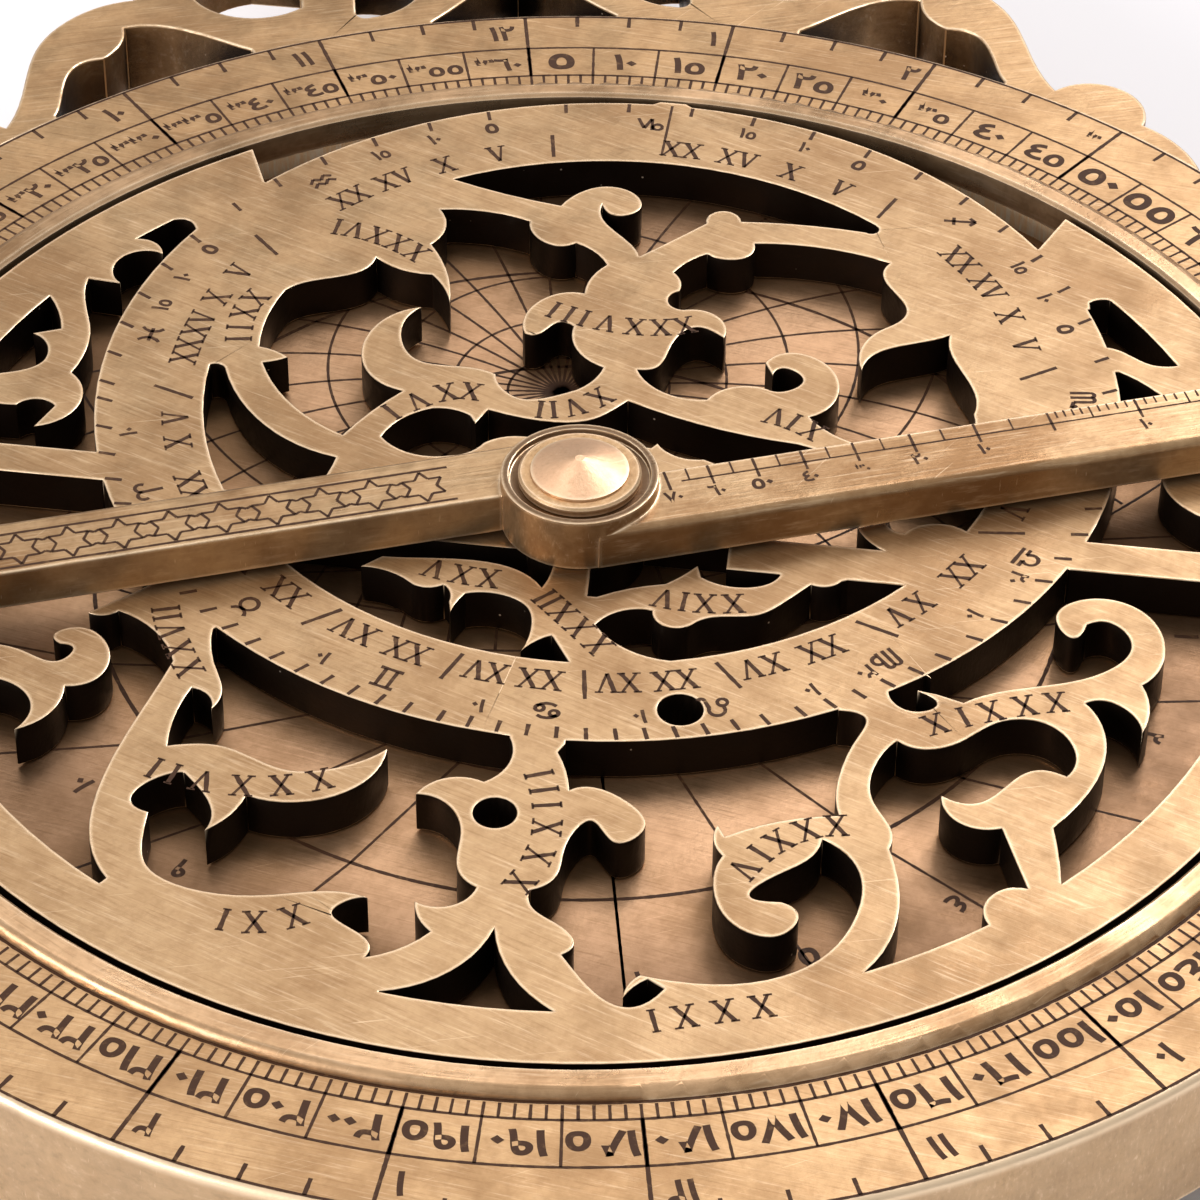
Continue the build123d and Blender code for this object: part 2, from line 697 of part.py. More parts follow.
# Throne: two mirrored halves, cut to the limb's rim, with four tenons and a thin tang on top
with BuildPart() as throne:
    with BuildSketch(Plane.XY.offset(throne_bottom_z)):
        make_face(outline(*throne_edge, size=throne_size))
        for light in (side_window, outer_light, inner_light, middle_light):
            make_face(outline(*light, size=throne_size), mode=Mode.SUBTRACT)
        mirror(about=Plane.YZ)
        Circle(limb_outer_r + throne_rim_gap, mode=Mode.SUBTRACT)
        with Locations((0, throne_hole_y * throne_size)):
            Circle(throne_hole_r, mode=Mode.SUBTRACT)
    extrude(amount=throne_thickness)
    with BuildSketch(Plane.XY.offset(throne_mid_z)):
        with Locations((0, shackle_pin_y - shackle_ear_r - shackle_relief + tang_r)):
            Rectangle(4 * tang_r, 2 * tang_r)
    extrude(amount=throne_thickness, both=True, mode=Mode.SUBTRACT)
    with BuildSketch(Plane.XY.offset(throne_mid_z - tang_thickness / 2)):
        with Locations((0, shackle_pin_y)):
            Circle(tang_r)
        with Locations((0, shackle_pin_y - shackle_ear_r)):
            Rectangle(2 * tang_r, 2 * shackle_ear_r)
        with Locations((0, shackle_pin_y)):
            Circle(shackle_pin_r + shackle_pin_play, mode=Mode.SUBTRACT)
        with Locations((0, throne_hole_y * throne_size)):
            Circle(throne_hole_r, mode=Mode.SUBTRACT)
    extrude(amount=tang_thickness)
    for tenon_angle in tenon_angles:
        tenon_x, tenon_y = polar(limb_outer_r + tenon_root - (tenon_depth + tenon_root) / 2, tenon_angle)
        with Locations(Location((tenon_x, tenon_y, throne_mid_z), (0, 0, -tenon_angle))):
            Box(tenon_width, tenon_depth + tenon_root, tenon_thickness)
    with BuildSketch(Plane.XY.offset(throne_mid_z)):
        for tenon_angle in tenon_angles:
            with Locations(polar(throne_rivet_circle, tenon_angle)):
                Circle(throne_rivet_r + rivet_play)
    extrude(amount=tenon_thickness, both=True, mode=Mode.SUBTRACT)
throne.part.label = "throne"

# Shackle: a stirrup whose ears straddle the tang
ear_inner = tang_thickness / 2 + shackle_side_gap
ear_outer = ear_inner + shackle_thickness
ring_y = tang_top_y + ring_play + ring_wire_r
ring_rise = ring_r - sqrt(ring_r**2 - shackle_top_r**2)
arch_y = ring_y + ring_wire_r + ring_rise + ring_play - ear_inner
shackle_plane = Plane(origin=(0, 0, throne_mid_z), x_dir=(0, 1, 0), z_dir=(1, 0, 0))
with BuildPart() as shackle:
    with BuildSketch(shackle_plane):
        with Locations((shackle_pin_y - shackle_ear_r + (arch_y - shackle_pin_y + shackle_ear_r) / 2, 0)):
            Rectangle(arch_y - shackle_pin_y + shackle_ear_r, 2 * ear_outer)
        with Locations((arch_y, 0)):
            Circle(ear_outer)
        with Locations((shackle_pin_y - shackle_ear_r + (arch_y - shackle_pin_y + shackle_ear_r) / 2, 0)):
            Rectangle(arch_y - shackle_pin_y + shackle_ear_r, 2 * ear_inner, mode=Mode.SUBTRACT)
        with Locations((arch_y, 0)):
            Circle(ear_inner, mode=Mode.SUBTRACT)
    extrude(amount=shackle_ear_r, both=True)
    with BuildSketch(Plane.XY.offset(throne_mid_z)):
        with Locations((0, shackle_pin_y)):
            Circle(shackle_ear_r)
        with Locations((0, arch_y + ear_outer - shackle_top_r)):
            Circle(shackle_top_r)
        make_hull()
        with Locations((0, shackle_pin_y)):
            Circle(shackle_pin_r + shackle_pin_play, mode=Mode.SUBTRACT)
    extrude(amount=ear_outer, both=True, mode=Mode.INTERSECT)
shackle.part.label = "shackle"

# Cross pin of the shackle, with a domed head on each side
head_base = ear_outer + rivet_head_gap
head_top = head_base + rivet_head_height
head_bend = head_base + rivet_head_height * 0.7
rivet_bend_r = (rivet_flat_r + rivet_head_r) * 0.58
with BuildPart() as shackle_pin:
    with BuildSketch(Plane(origin=(0, shackle_pin_y, throne_mid_z), x_dir=(1, 0, 0), z_dir=(0, -1, 0))):
        with BuildLine():
            Polyline((rivet_flat_r, -head_top), (0, -head_top), (0, head_top), (rivet_flat_r, head_top))
            ThreePointArc((rivet_flat_r, head_top), (rivet_bend_r, head_bend), (rivet_head_r, head_base))
            Polyline(
                (rivet_head_r, head_base),
                (shackle_pin_r, head_base),
                (shackle_pin_r, -head_base),
                (rivet_head_r, -head_base),
            )
            ThreePointArc((rivet_head_r, -head_base), (rivet_bend_r, -head_bend), (rivet_flat_r, -head_top))
        make_face()
    revolve(axis=Axis((0, shackle_pin_y, throne_mid_z), (0, 0, 1)))
shackle_pin.part.label = "shackle_pin"

# Suspension ring, passed through the shackle
with BuildPart() as suspension_ring:
    with BuildSketch(Plane(origin=(0, ring_y + ring_r, throne_mid_z), x_dir=(1, 0, 0), z_dir=(0, -1, 0))):
        with Locations((ring_r, 0)):
            Circle(ring_wire_r)
    revolve(axis=Axis((0, ring_y + ring_r, throne_mid_z), (0, 0, 1)))
suspension_ring.part.label = "suspension_ring"

# Rete: openwork cut from a disc, with the ecliptic ring, the outer band and the boss left whole
rete_plane = Plane(
    origin=(0, 0, rete_bottom_z),
    x_dir=(cos(radians(rete_turn)), -sin(radians(rete_turn)), 0),
    z_dir=(0, 0, 1),
)
with BuildSketch() as ecliptic_ring:
    with Locations((0, ecliptic_y)):
        Circle(ecliptic_r)
        Circle(ecliptic_r - ecliptic_width, mode=Mode.SUBTRACT)
with BuildSketch() as outer_band:
    Circle(rete_r)
    Circle(rete_r - rete_band, mode=Mode.SUBTRACT)
    make_face(outline(*north_cutaway, size=rete_size), mode=Mode.SUBTRACT)
with BuildPart() as rete:
    with BuildSketch(rete_plane):
        Circle(rete_r)
        for opening in rete_openings:
            make_face(outline(*opening, size=rete_size), mode=Mode.SUBTRACT)
        add(ecliptic_ring.sketch)
        add(outer_band.sketch)
        Circle(rete_boss_r)
        with BuildLine():
            Polyline(
                (-index_half_width - index_flare, rete_r - index_reach),
                (-index_half_width, rete_r + index_reach),
                (index_half_width, rete_r + index_reach),
                (index_half_width + index_flare, rete_r - index_reach),
                close=True,
            )
        make_face()
        Circle(bore_r, mode=Mode.SUBTRACT)
        with Locations((low_hole[0] * rete_size, low_hole[1] * rete_size)):
            Circle(low_hole_r, mode=Mode.SUBTRACT)
        with Locations((side_hole[0] * rete_size, side_hole[1] * rete_size)):
            Circle(side_hole_r, mode=Mode.SUBTRACT)
    extrude(amount=rete_thickness)
rete.part.label = "rete"

# Rule: each arm's reading edge lies on the centre line, one arm above it and one below
rule_plane = Plane(
    origin=(0, 0, rule_bottom_z),
    x_dir=(cos(radians(rule_turn)), sin(radians(rule_turn)), 0),
    z_dir=(0, 0, 1),
)
with BuildPart() as rule:
    with BuildSketch(rule_plane):
        for side in (1, -1):
            with BuildLine():
                Line((0, 0), (side * rule_reach, 0))
                ThreePointArc(
                    (side * rule_reach, 0),
                    (side * (rule_reach - rule_tip_back * 0.7), -side * rule_width * 0.42),
                    (side * (rule_reach - rule_tip_back), -side * rule_width),
                )
                Line((side * (rule_reach - rule_tip_back), -side * rule_width), (0, -side * rule_width))
                Line((0, -side * rule_width), (0, 0))
            make_face()
    extrude(amount=rule_thickness)
    outer_edges = rule.edges().filter_by(lambda edge: edge.length > rule_reach * 0.8).group_by(Axis.Z)[-1]
    outer_edges = outer_edges.filter_by(lambda edge: (edge @ 0.5).length > rule_width)
    outer_edges = outer_edges.filter_by(lambda edge: abs(edge.distance_to((0, 0, rule_top_z))) > rule_width / 2)
    fillet(outer_edges, rule_edge_round)
    with BuildSketch(rule_plane):
        Circle(hub_r)
    extrude(amount=rule_thickness + hub_rise)
    with BuildSketch(Plane.XY.offset(rete_top_z + hub_boss_gap)):
        Circle(hub_boss_r)
    extrude(amount=rule_bottom_z - rete_top_z - hub_boss_gap)
    with BuildSketch(Plane.XY.offset(hub_top_z)):
        Circle(hub_r - hub_rim)
    extrude(amount=-hub_recess, mode=Mode.SUBTRACT)
    with BuildSketch(Plane.XY.offset(rete_top_z)):
        Circle(bore_r)
    extrude(amount=hub_top_z - rete_top_z, mode=Mode.SUBTRACT)
rule.part.label = "rule"

# Collar under the head of the centre pin
with BuildPart() as collar:
    with BuildSketch(Plane.XY.offset(collar_bottom_z)):
        Circle(collar_r)
        Circle(bore_r, mode=Mode.SUBTRACT)
    extrude(amount=collar_thickness)
    chamfer(collar.faces().sort_by(Axis.Z)[-1].outer_wire().edges(), head_edge)
collar.part.label = "collar"

# Centre pin: a low cone in front, a slot for the wedge behind
with BuildPart() as centre_pin:
    with BuildSketch(Plane.XZ):
        with BuildLine():
            Polyline(
                (0, pin_end_z),
                (pin_r, pin_end_z),
                (pin_r, head_z),
                (head_r, head_z),
                (head_r, head_z + head_edge),
                (head_tip_r, head_z + head_edge + head_cone),
                (0, head_z + head_edge + head_cone),
                close=True,
            )
        make_face()
    revolve(axis=Axis.Z)
    with BuildSketch(Plane.XY.offset(wedge_bottom_z - wedge_play)):
        Rectangle(4 * pin_r, wedge_blade_width + 2 * wedge_play)
    extrude(amount=wedge_thickness + 2 * wedge_play, mode=Mode.SUBTRACT)
centre_pin.part.label = "centre_pin"

# Washer between the alidade and the wedge
with BuildPart() as washer:
    with BuildSketch(Plane.XY.offset(washer_top_z)):
        Circle(washer_r)
        Circle(bore_r, mode=Mode.SUBTRACT)
    extrude(amount=-washer_thickness)
washer.part.label = "washer"

# Wedge: a flat tapering blade with a rounded head, pushed through the slot of the pin
with BuildPart() as horse_wedge:
    with BuildSketch(Plane.XY.offset(wedge_bottom_z)):
        with BuildLine():
            Polyline(
                (wedge_head_x, -wedge_blade_width / 2),
                (wedge_tip_x, -wedge_blade_width / 4),
                (wedge_tip_x, wedge_blade_width / 4),
                (wedge_head_x, wedge_blade_width / 2),
            )
            Spline(
                (wedge_head_x, wedge_blade_width / 2),
                (wedge_head_x + wedge_head_length * 0.3, wedge_head_width / 2),
                (wedge_head_x + wedge_head_length * 0.75, wedge_head_width * 0.38),
                (wedge_head_x + wedge_head_length, 0),
            )
            Spline(
                (wedge_head_x + wedge_head_length, 0),
                (wedge_head_x + wedge_head_length * 0.75, -wedge_head_width * 0.38),
                (wedge_head_x + wedge_head_length * 0.3, -wedge_head_width / 2),
                (wedge_head_x, -wedge_blade_width / 2),
            )
        make_face()
    extrude(amount=wedge_thickness)
horse_wedge.part.label = "horse_wedge"

# Alidade: a straight bar pointed at both ends, with two pairs of hinge lugs
lug_outer_x = alidade_width / 2
lug_inner_x = lug_outer_x - lug_width
with BuildPart() as alidade:
    with BuildSketch(Plane.XY.offset(alidade_back_z)):
        Rectangle(alidade_width, 2 * (alidade_reach - alidade_taper))
        for end in (1, -1):
            with BuildLine():
                Polyline(
                    (-alidade_width / 2, end * (alidade_reach - alidade_taper)),
                    (0, end * alidade_reach),
                    (alidade_width / 2, end * (alidade_reach - alidade_taper)),
                    close=True,
                )
            make_face()
        Circle(alidade_hub_r)
        Circle(bore_r, mode=Mode.SUBTRACT)
    extrude(amount=alidade_thickness)
    for end in (1, -1):
        for side in (1, -1):
            lug_plane = Plane(
                origin=(side * lug_inner_x, end * sight_at, sight_axis_z), x_dir=(0, 1, 0), z_dir=(side, 0, 0)
            )
            with BuildSketch(lug_plane):
                Circle(lug_r)
            extrude(amount=lug_width)
        pin_plane = Plane(origin=(-alidade_width, end * sight_at, sight_axis_z), x_dir=(0, 1, 0), z_dir=(1, 0, 0))
        with BuildSketch(pin_plane):
            Circle(sight_pin_r + sight_pin_play)
        extrude(amount=2 * alidade_width, mode=Mode.SUBTRACT)
    with BuildSketch(Plane.XY.offset(alidade_top_z)):
        for end in (1, -1):
            with Locations((0, end * sight_at)):
                Rectangle(4 * alidade_width, 4 * lug_r)
    extrude(amount=lug_r, mode=Mode.SUBTRACT)
alidade.part.label = "alidade"

# Sight vanes: folded flat against the alidade, free edge towards the centre
vanes = []
vane_pins = []
for end, place in ((1, "upper"), (-1, "lower")):
    vane_base = lug_r + vane_clear
    vane_plane = Plane(
        origin=(0, end * sight_at, sight_axis_z - vane_thickness / 2), x_dir=(end, 0, 0), z_dir=(0, 0, 1)
    )
    hinge_plane = Plane(
        origin=(-lug_inner_x + sight_side_play, end * sight_at, sight_axis_z), x_dir=(0, 1, 0), z_dir=(1, 0, 0)
    )
    with BuildPart() as sight_vane:
        with BuildSketch(vane_plane) as leaf:
            with Locations((0, -(vane_base + vane_height) / 2)):
                RectangleRounded(vane_width, vane_height - vane_base, vane_corner)
            with Locations((0, -vane_base - vane_corner / 2)):
                Rectangle(vane_width, vane_corner)
            with Locations((0, -vane_base / 2)):
                Rectangle(2 * (lug_inner_x - sight_side_play), vane_base)
            with Locations((0, -sight_hole_at)):
                Circle(sight_hole_r, mode=Mode.SUBTRACT)
            with Locations((0, -low_sight_hole_at)):
                Circle(low_sight_hole_r, mode=Mode.SUBTRACT)
        extrude(amount=vane_thickness)
        with BuildSketch(hinge_plane):
            Circle(sight_axis_drop - sight_knuckle_gap)
        extrude(amount=2 * (lug_inner_x - sight_side_play))
        with BuildSketch(hinge_plane):
            Circle(sight_pin_r + sight_pin_play)
        extrude(amount=2 * (lug_inner_x - sight_side_play), mode=Mode.SUBTRACT)
    sight_vane.part.label = f"sight_vane_{place}"
    vanes.append(sight_vane.part)
    with BuildPart() as vane_pin:
        with BuildSketch(Plane(origin=(-lug_outer_x, end * sight_at, sight_axis_z), x_dir=(0, 1, 0), z_dir=(1, 0, 0))):
            Circle(sight_pin_r)
        extrude(amount=2 * lug_outer_x)
    vane_pin.part.label = f"vane_pin_{place}"
    vane_pins.append(vane_pin.part)

pieces = [
    limb.part,
    lip_ring.part,
    back_plate.part,
    limb_rivets.part,
    throne_rivets.part,
    plate_peg.part,
    *plates,
    throne.part,
    shackle.part,
    shackle_pin.part,
    suspension_ring.part,
    rete.part,
    rule.part,
    collar.part,
    centre_pin.part,
    washer.part,
    horse_wedge.part,
    alidade.part,
    *vanes,
    *vane_pins,
]
os.makedirs("parts", exist_ok=True)
for piece in pieces:
    export_step(piece, f"parts/{piece.label}.step")
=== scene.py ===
"""Looks of the brass astrolabe: metals, worn edges, engraved scales, floor, light and camera."""

from math import atan2, cos, degrees, hypot, pi, radians, sin, sqrt, tan

import bpy
from mathutils import Matrix, Vector, noise


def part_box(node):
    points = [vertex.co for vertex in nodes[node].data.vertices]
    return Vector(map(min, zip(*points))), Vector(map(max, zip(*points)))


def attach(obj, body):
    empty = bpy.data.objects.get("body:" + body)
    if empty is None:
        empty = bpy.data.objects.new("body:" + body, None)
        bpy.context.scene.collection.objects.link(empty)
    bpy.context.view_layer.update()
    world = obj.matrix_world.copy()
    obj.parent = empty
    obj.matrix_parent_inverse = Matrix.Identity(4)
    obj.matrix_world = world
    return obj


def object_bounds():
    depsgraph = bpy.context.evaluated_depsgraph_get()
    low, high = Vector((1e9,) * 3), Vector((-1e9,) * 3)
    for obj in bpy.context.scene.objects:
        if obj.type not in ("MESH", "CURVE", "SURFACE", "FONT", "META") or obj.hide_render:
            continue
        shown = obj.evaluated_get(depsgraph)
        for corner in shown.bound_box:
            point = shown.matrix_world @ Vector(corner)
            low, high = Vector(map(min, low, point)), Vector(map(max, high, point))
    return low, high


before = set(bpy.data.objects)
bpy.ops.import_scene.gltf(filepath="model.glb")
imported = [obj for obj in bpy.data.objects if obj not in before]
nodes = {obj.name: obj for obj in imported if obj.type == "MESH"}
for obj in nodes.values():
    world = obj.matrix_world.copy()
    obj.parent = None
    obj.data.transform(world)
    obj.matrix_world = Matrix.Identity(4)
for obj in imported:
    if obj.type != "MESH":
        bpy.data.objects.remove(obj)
cad_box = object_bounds()
floor_z = cad_box[0][2]

mm = 0.001

# Levels and radii of the object, in millimetres, read from the model's parts where it has them
face_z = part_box("limb")[1].z / mm
back_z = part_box("back_plate")[0].z / mm
rete_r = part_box("rete")[1].x / mm
rete_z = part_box("rete")[1].z / mm
plate_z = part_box("latitude_plate_1")[1].z / mm
hub_rise = 0.9
hub_groove_r = 4.5
hub_groove_width = 0.7
rule_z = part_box("rule")[1].z / mm - hub_rise
hollow_r = 48.9
rim_highlight_r = 60.15
engraving_lift = 0.012

# Turns of the parts at rest, in degrees, counter-clockwise from above
rete_turn = -12.0
rule_turn = 10.0

# Rings of the limb's scales, in millimetres from the axis
hour_line_r = 60.1
quarter_inner_r = 58.8
cell_outer_r = 56.0
cell_inner_r = 52.4
degree_inner_r = 51.25
crevice_r = 51.05
hour_count = 24
hour_number_r = 58.1
hour_number_height = 1.9
hour_number_gap = 0.45
one_digit_half_width = 0.75
two_digit_half_width = 1.35
cell_degrees = 5
cell_number_r = 54.2
cell_number_height = 2.05
cell_number_stretch = 1.2

# Rings of the back's scale of altitudes, in millimetres from the axis
back_outer_r = 57.6
back_degree_r = 56.2
back_cell_r = 54.4
back_number_r = 52.8
back_number_height = 1.7
back_inner_r = 51.2

# Sky of the rete and the plate: stereographic from the pole, out to the southern tropic
obliquity = radians(23.44)
equator_r = rete_r * tan(pi / 4 - obliquity / 2)
northern_tropic_r = equator_r * tan(pi / 4 - obliquity / 2)
ecliptic_r = (rete_r + northern_tropic_r) / 2
ecliptic_shift = (rete_r - northern_tropic_r) / 2
plate_latitude = radians(31.0)

# Line widths, in millimetres
fine_line = 0.13
scale_line = 0.19
bold_line = 0.27
stroke_step = 0.3

# How far a hand-cut line's width wavers, as a share of it, and how quickly along the line
waver = 0.32
waver_pace = 2.1
waver_seed = 7.0

# Colours, linear
tan_gold = (0.57, 0.365, 0.185)
olive_gold = (0.53, 0.35, 0.185)
pink_gold = (0.66, 0.43, 0.24)
brown_patina = (0.27, 0.145, 0.06)
# cream is worn brass with a painted highlight on it
cream = (0.95, 0.74, 0.5)
pale_cream = (0.95, 0.76, 0.55)
copper = (0.60, 0.365, 0.205)
pale_copper = (0.84, 0.54, 0.33)
# black_brown is painted shade for upright walls and openings
black_brown = (0.016, 0.009, 0.005)
ink_brown = (0.06, 0.024, 0.009)
dust = (0.75, 0.66, 0.55)
# Painted light for the hollow's inner wall
lit_wall_gold = (0.95, 0.62, 0.33)

# How metallic the brass is, and how its scratches and its painted rim highlight lie, in degrees and
# millimetres
plain_metal = 0.82
worn_metal = 0.85
scratch_turn = 38.0
rim_blur = 0.12
rim_fade_start = 0.3
rim_fade_end = 0.9
wall_margin = 0.05


def polar(radius, clock):
    """A point at a clock angle, in degrees clockwise from the throne."""
    return radius * sin(radians(clock)), radius * cos(radians(clock))


def rotate(x, y, angle):
    """A point turned about the origin, counter-clockwise in radians."""
    return x * cos(angle) - y * sin(angle), x * sin(angle) + y * cos(angle)


def from_box(x, y, place, height, upward):
    """A point of a unit box that is set at a place, with its top along an angle in degrees from +X."""
    x, y = rotate(x, y, radians(upward - 90.0))
    return place[0] + height * x, place[1] + height * y


# Materials
class Metal:
    """A node tree under construction, with the few kinds of node that the metals need."""

    def __init__(self, name):
        self.material = bpy.data.materials.new(name)
        self.material.use_nodes = True
        self.tree = self.material.node_tree
        self.shader = self.tree.nodes["Principled BSDF"]
        coordinates = self.tree.nodes.new("ShaderNodeTexCoord")
        self.place = coordinates.outputs["Object"]
        self.facing = coordinates.outputs["Normal"]

    def link(self, source, socket):
        self.tree.links.new(source, socket)

    def fill(self, socket, value):
        if isinstance(value, bpy.types.NodeSocket):
            self.link(value, socket)
        elif isinstance(value, tuple) and len(value) == 3 and socket.type == "RGBA":
            socket.default_value = (*value, 1.0)
        else:
            socket.default_value = value

    def math(self, operation, first, second=0.0, clamp=False):
        node = self.tree.nodes.new("ShaderNodeMath")
        node.operation = operation
        node.use_clamp = clamp
        self.fill(node.inputs[0], first)
        self.fill(node.inputs[1], second)
        return node.outputs[0]

    def ramp(self, value, low, high, bottom=0.0, top=1.0):
        """A smooth change from bottom to top while a value goes from low to high."""
        node = self.tree.nodes.new("ShaderNodeMapRange")
        node.interpolation_type = "SMOOTHSTEP"
        for socket, number in zip(node.inputs[:5], (value, low, high, bottom, top)):
            self.fill(socket, number)
        return node.outputs[0]

    def mix(self, factor, first, second):
        node = self.tree.nodes.new("ShaderNodeMix")
        node.data_type = "RGBA"
        self.fill(node.inputs[0], factor)
        self.fill(node.inputs[6], first)
        self.fill(node.inputs[7], second)
        return node.outputs[2]

    def part(self, vector, index):
        node = self.tree.nodes.new("ShaderNodeSeparateXYZ")
        self.link(vector, node.inputs[0])
        return node.outputs[index]

    def levelness(self):
        """1 on a level face and 0 on an upright wall."""
        return self.math("ABSOLUTE", self.part(self.facing, 2))

    def stretched(self, scale, turn=0.0):
        """The object's coordinates, turned in the plane and scaled along each axis."""
        turned = self.tree.nodes.new("ShaderNodeVectorRotate")
        turned.rotation_type = "Z_AXIS"
        self.link(self.place, turned.inputs["Vector"])
        turned.inputs["Angle"].default_value = radians(-turn)
        scaled = self.tree.nodes.new("ShaderNodeVectorMath")
        scaled.operation = "MULTIPLY"
        self.link(turned.outputs[0], scaled.inputs[0])
        scaled.inputs[1].default_value = scale
        return scaled.outputs[0]

    def around(self, angular, radial, upward):
        """Coordinates round the axis, for marks that follow the turning."""
        x = self.part(self.place, 0)
        y = self.part(self.place, 1)
        combined = self.tree.nodes.new("ShaderNodeCombineXYZ")
        angle = self.math("ARCTAN2", y, x)
        self.link(self.math("MULTIPLY", angle, angular), combined.inputs[0])
        self.link(self.math("MULTIPLY", self.radius(), radial), combined.inputs[1])
        self.link(self.math("MULTIPLY", self.part(self.place, 2), upward), combined.inputs[2])
        return combined.outputs[0]

    def radius(self):
        x = self.part(self.place, 0)
        y = self.part(self.place, 1)
        squares = self.math("ADD", self.math("MULTIPLY", x, x), self.math("MULTIPLY", y, y))
        return self.math("SQRT", squares)

    def noise(self, vector, scale, detail=4.0, roughness=0.55):
        node = self.tree.nodes.new("ShaderNodeTexNoise")
        self.link(vector, node.inputs["Vector"])
        node.inputs["Scale"].default_value = scale
        node.inputs["Detail"].default_value = detail
        node.inputs["Roughness"].default_value = roughness
        return node.outputs["Fac"]

    def specks(self, scale, size, share):
        """Small round spots, in a share of the cells of a grid."""
        node = self.tree.nodes.new("ShaderNodeTexVoronoi")
        self.link(self.place, node.inputs["Vector"])
        node.inputs["Scale"].default_value = scale
        spots = self.ramp(node.outputs["Distance"], size, size * 0.4)
        chosen = self.math("LESS_THAN", self.part(node.outputs["Color"], 0), share)
        return self.math("MULTIPLY", spots, chosen)

    def edge(self, reach, low, high):
        """How much the surface bends within a reach, so 1 on an edge and 0 on a flat face."""
        rounded = self.tree.nodes.new("ShaderNodeBevel")
        rounded.samples = 6
        rounded.inputs["Radius"].default_value = reach
        true = self.tree.nodes.new("ShaderNodeNewGeometry")
        dot = self.tree.nodes.new("ShaderNodeVectorMath")
        dot.operation = "DOT_PRODUCT"
        self.link(rounded.outputs[0], dot.inputs[0])
        self.link(true.outputs["Normal"], dot.inputs[1])
        return self.ramp(self.math("SUBTRACT", 1.0, dot.outputs["Value"]), low, high)

    def hollow(self, reach):
        """1 in the open and towards 0 in corners and crevices."""
        node = self.tree.nodes.new("ShaderNodeAmbientOcclusion")
        node.samples = 6
        node.inputs["Distance"].default_value = reach
        return node.outputs["AO"]

    def relief(self, height, strength, depth):
        node = self.tree.nodes.new("ShaderNodeBump")
        node.inputs["Strength"].default_value = strength
        node.inputs["Distance"].default_value = depth
        self.link(height, node.inputs["Height"])
        self.link(node.outputs[0], self.shader.inputs["Normal"])


def brushed_face(metal, face, patina, worn, patina_share, brush_turn, turned):
    """A face with patina, brushing or turning marks, and scratches: its colour, and the marks alone."""
    patches = metal.ramp(metal.noise(metal.place, 60.0, 6.0, 0.68), 0.42, 0.64)
    colour = metal.mix(metal.math("MULTIPLY", patches, patina_share), face, patina)
    mottle = metal.ramp(metal.noise(metal.place, 1100.0, 5.0, 0.7), 0.38, 0.72)
    colour = metal.mix(metal.math("MULTIPLY", mottle, 0.3), colour, patina)
    if turned:
        strands = metal.around(9.0, 3200.0, 1500.0)
    else:
        strands = metal.stretched((260.0, 5200.0, 1500.0), brush_turn)
    streaks = metal.noise(strands, 1.0, 4.0, 0.65)
    colour = metal.mix(metal.ramp(streaks, 0.52, 0.78, 0.0, 0.4), colour, worn)
    colour = metal.mix(metal.ramp(streaks, 0.48, 0.28, 0.0, 0.45), colour, patina)
    crossing = metal.stretched((150.0, 9000.0, 900.0), brush_turn + scratch_turn)
    scratches = metal.noise(crossing, 1.0, 2.0)
    colour = metal.mix(metal.ramp(scratches, 0.69, 0.76, 0.0, 0.4), colour, worn)
    return colour, streaks


def dark_walls(metal, colour, level, wall, wall_shade_reach):
    """A colour with painted shade, flecked with dust, on upright walls, or only on those of hollows where a
    reach is given.
    """
    dark = metal.mix(metal.specks(scale=700.0, size=0.07, share=0.25), wall, dust)
    walled = metal.ramp(level, 0.8, 0.35)
    if wall_shade_reach is not None:
        enclosed = metal.ramp(metal.hollow(wall_shade_reach * mm), 0.93, 0.72)
        walled = metal.math("MULTIPLY", walled, enclosed)
    return metal.mix(walled, colour, dark)


def rubbed_places(metal, level, edge_reach, has_shaded_walls, highlight_rim_r):
    """Where the metal is brightened: worn edges with a painted highlight on them, and a painted highlight
    on a rim past a radius.
    """
    rubbed = metal.ramp(metal.noise(metal.place, 420.0, 4.0, 0.6), 0.15, 0.5, 0.45, 1.0)
    edge = metal.math("MULTIPLY", metal.edge(edge_reach * mm, 0.004, 0.09), rubbed)
    if has_shaded_walls:
        edge = metal.math("MULTIPLY", edge, metal.ramp(level, 0.2, 0.5))
    if highlight_rim_r is not None:
        # A painted highlight on the limb's rounded outer rim, fading down its wall
        rim = metal.ramp(metal.radius(), (highlight_rim_r - rim_blur) * mm, (highlight_rim_r + rim_blur) * mm)
        height = metal.part(metal.place, 2)
        near_face = metal.ramp(height, -rim_fade_end * mm, -rim_fade_start * mm, 0.25, 1.0)
        rim = metal.math("MULTIPLY", rim, near_face)
        edge = metal.math("MAXIMUM", edge, metal.math("MULTIPLY", rim, rubbed))
    return edge


def golden_inner_wall(metal, colour, level, inner_wall_r):
    """A colour with painted light on the upright wall inside a radius: a pale, grainy gold, less metallic
    than the face.
    """
    inner = metal.math("LESS_THAN", metal.radius(), (inner_wall_r + wall_margin) * mm)
    steep = metal.math("MULTIPLY", inner, metal.ramp(level, 0.5, 0.2))
    grain = metal.noise(metal.around(140.0, 400.0, 300.0), 1.0, 3.0, 0.7)
    grainy = metal.mix(metal.ramp(grain, 0.4, 0.65), lit_wall_gold, pale_cream)
    dull = metal.math("SUBTRACT", plain_metal, metal.math("MULTIPLY", steep, 0.75))
    metal.link(dull, metal.shader.inputs["Metallic"])
    return metal.mix(steep, colour, grainy)


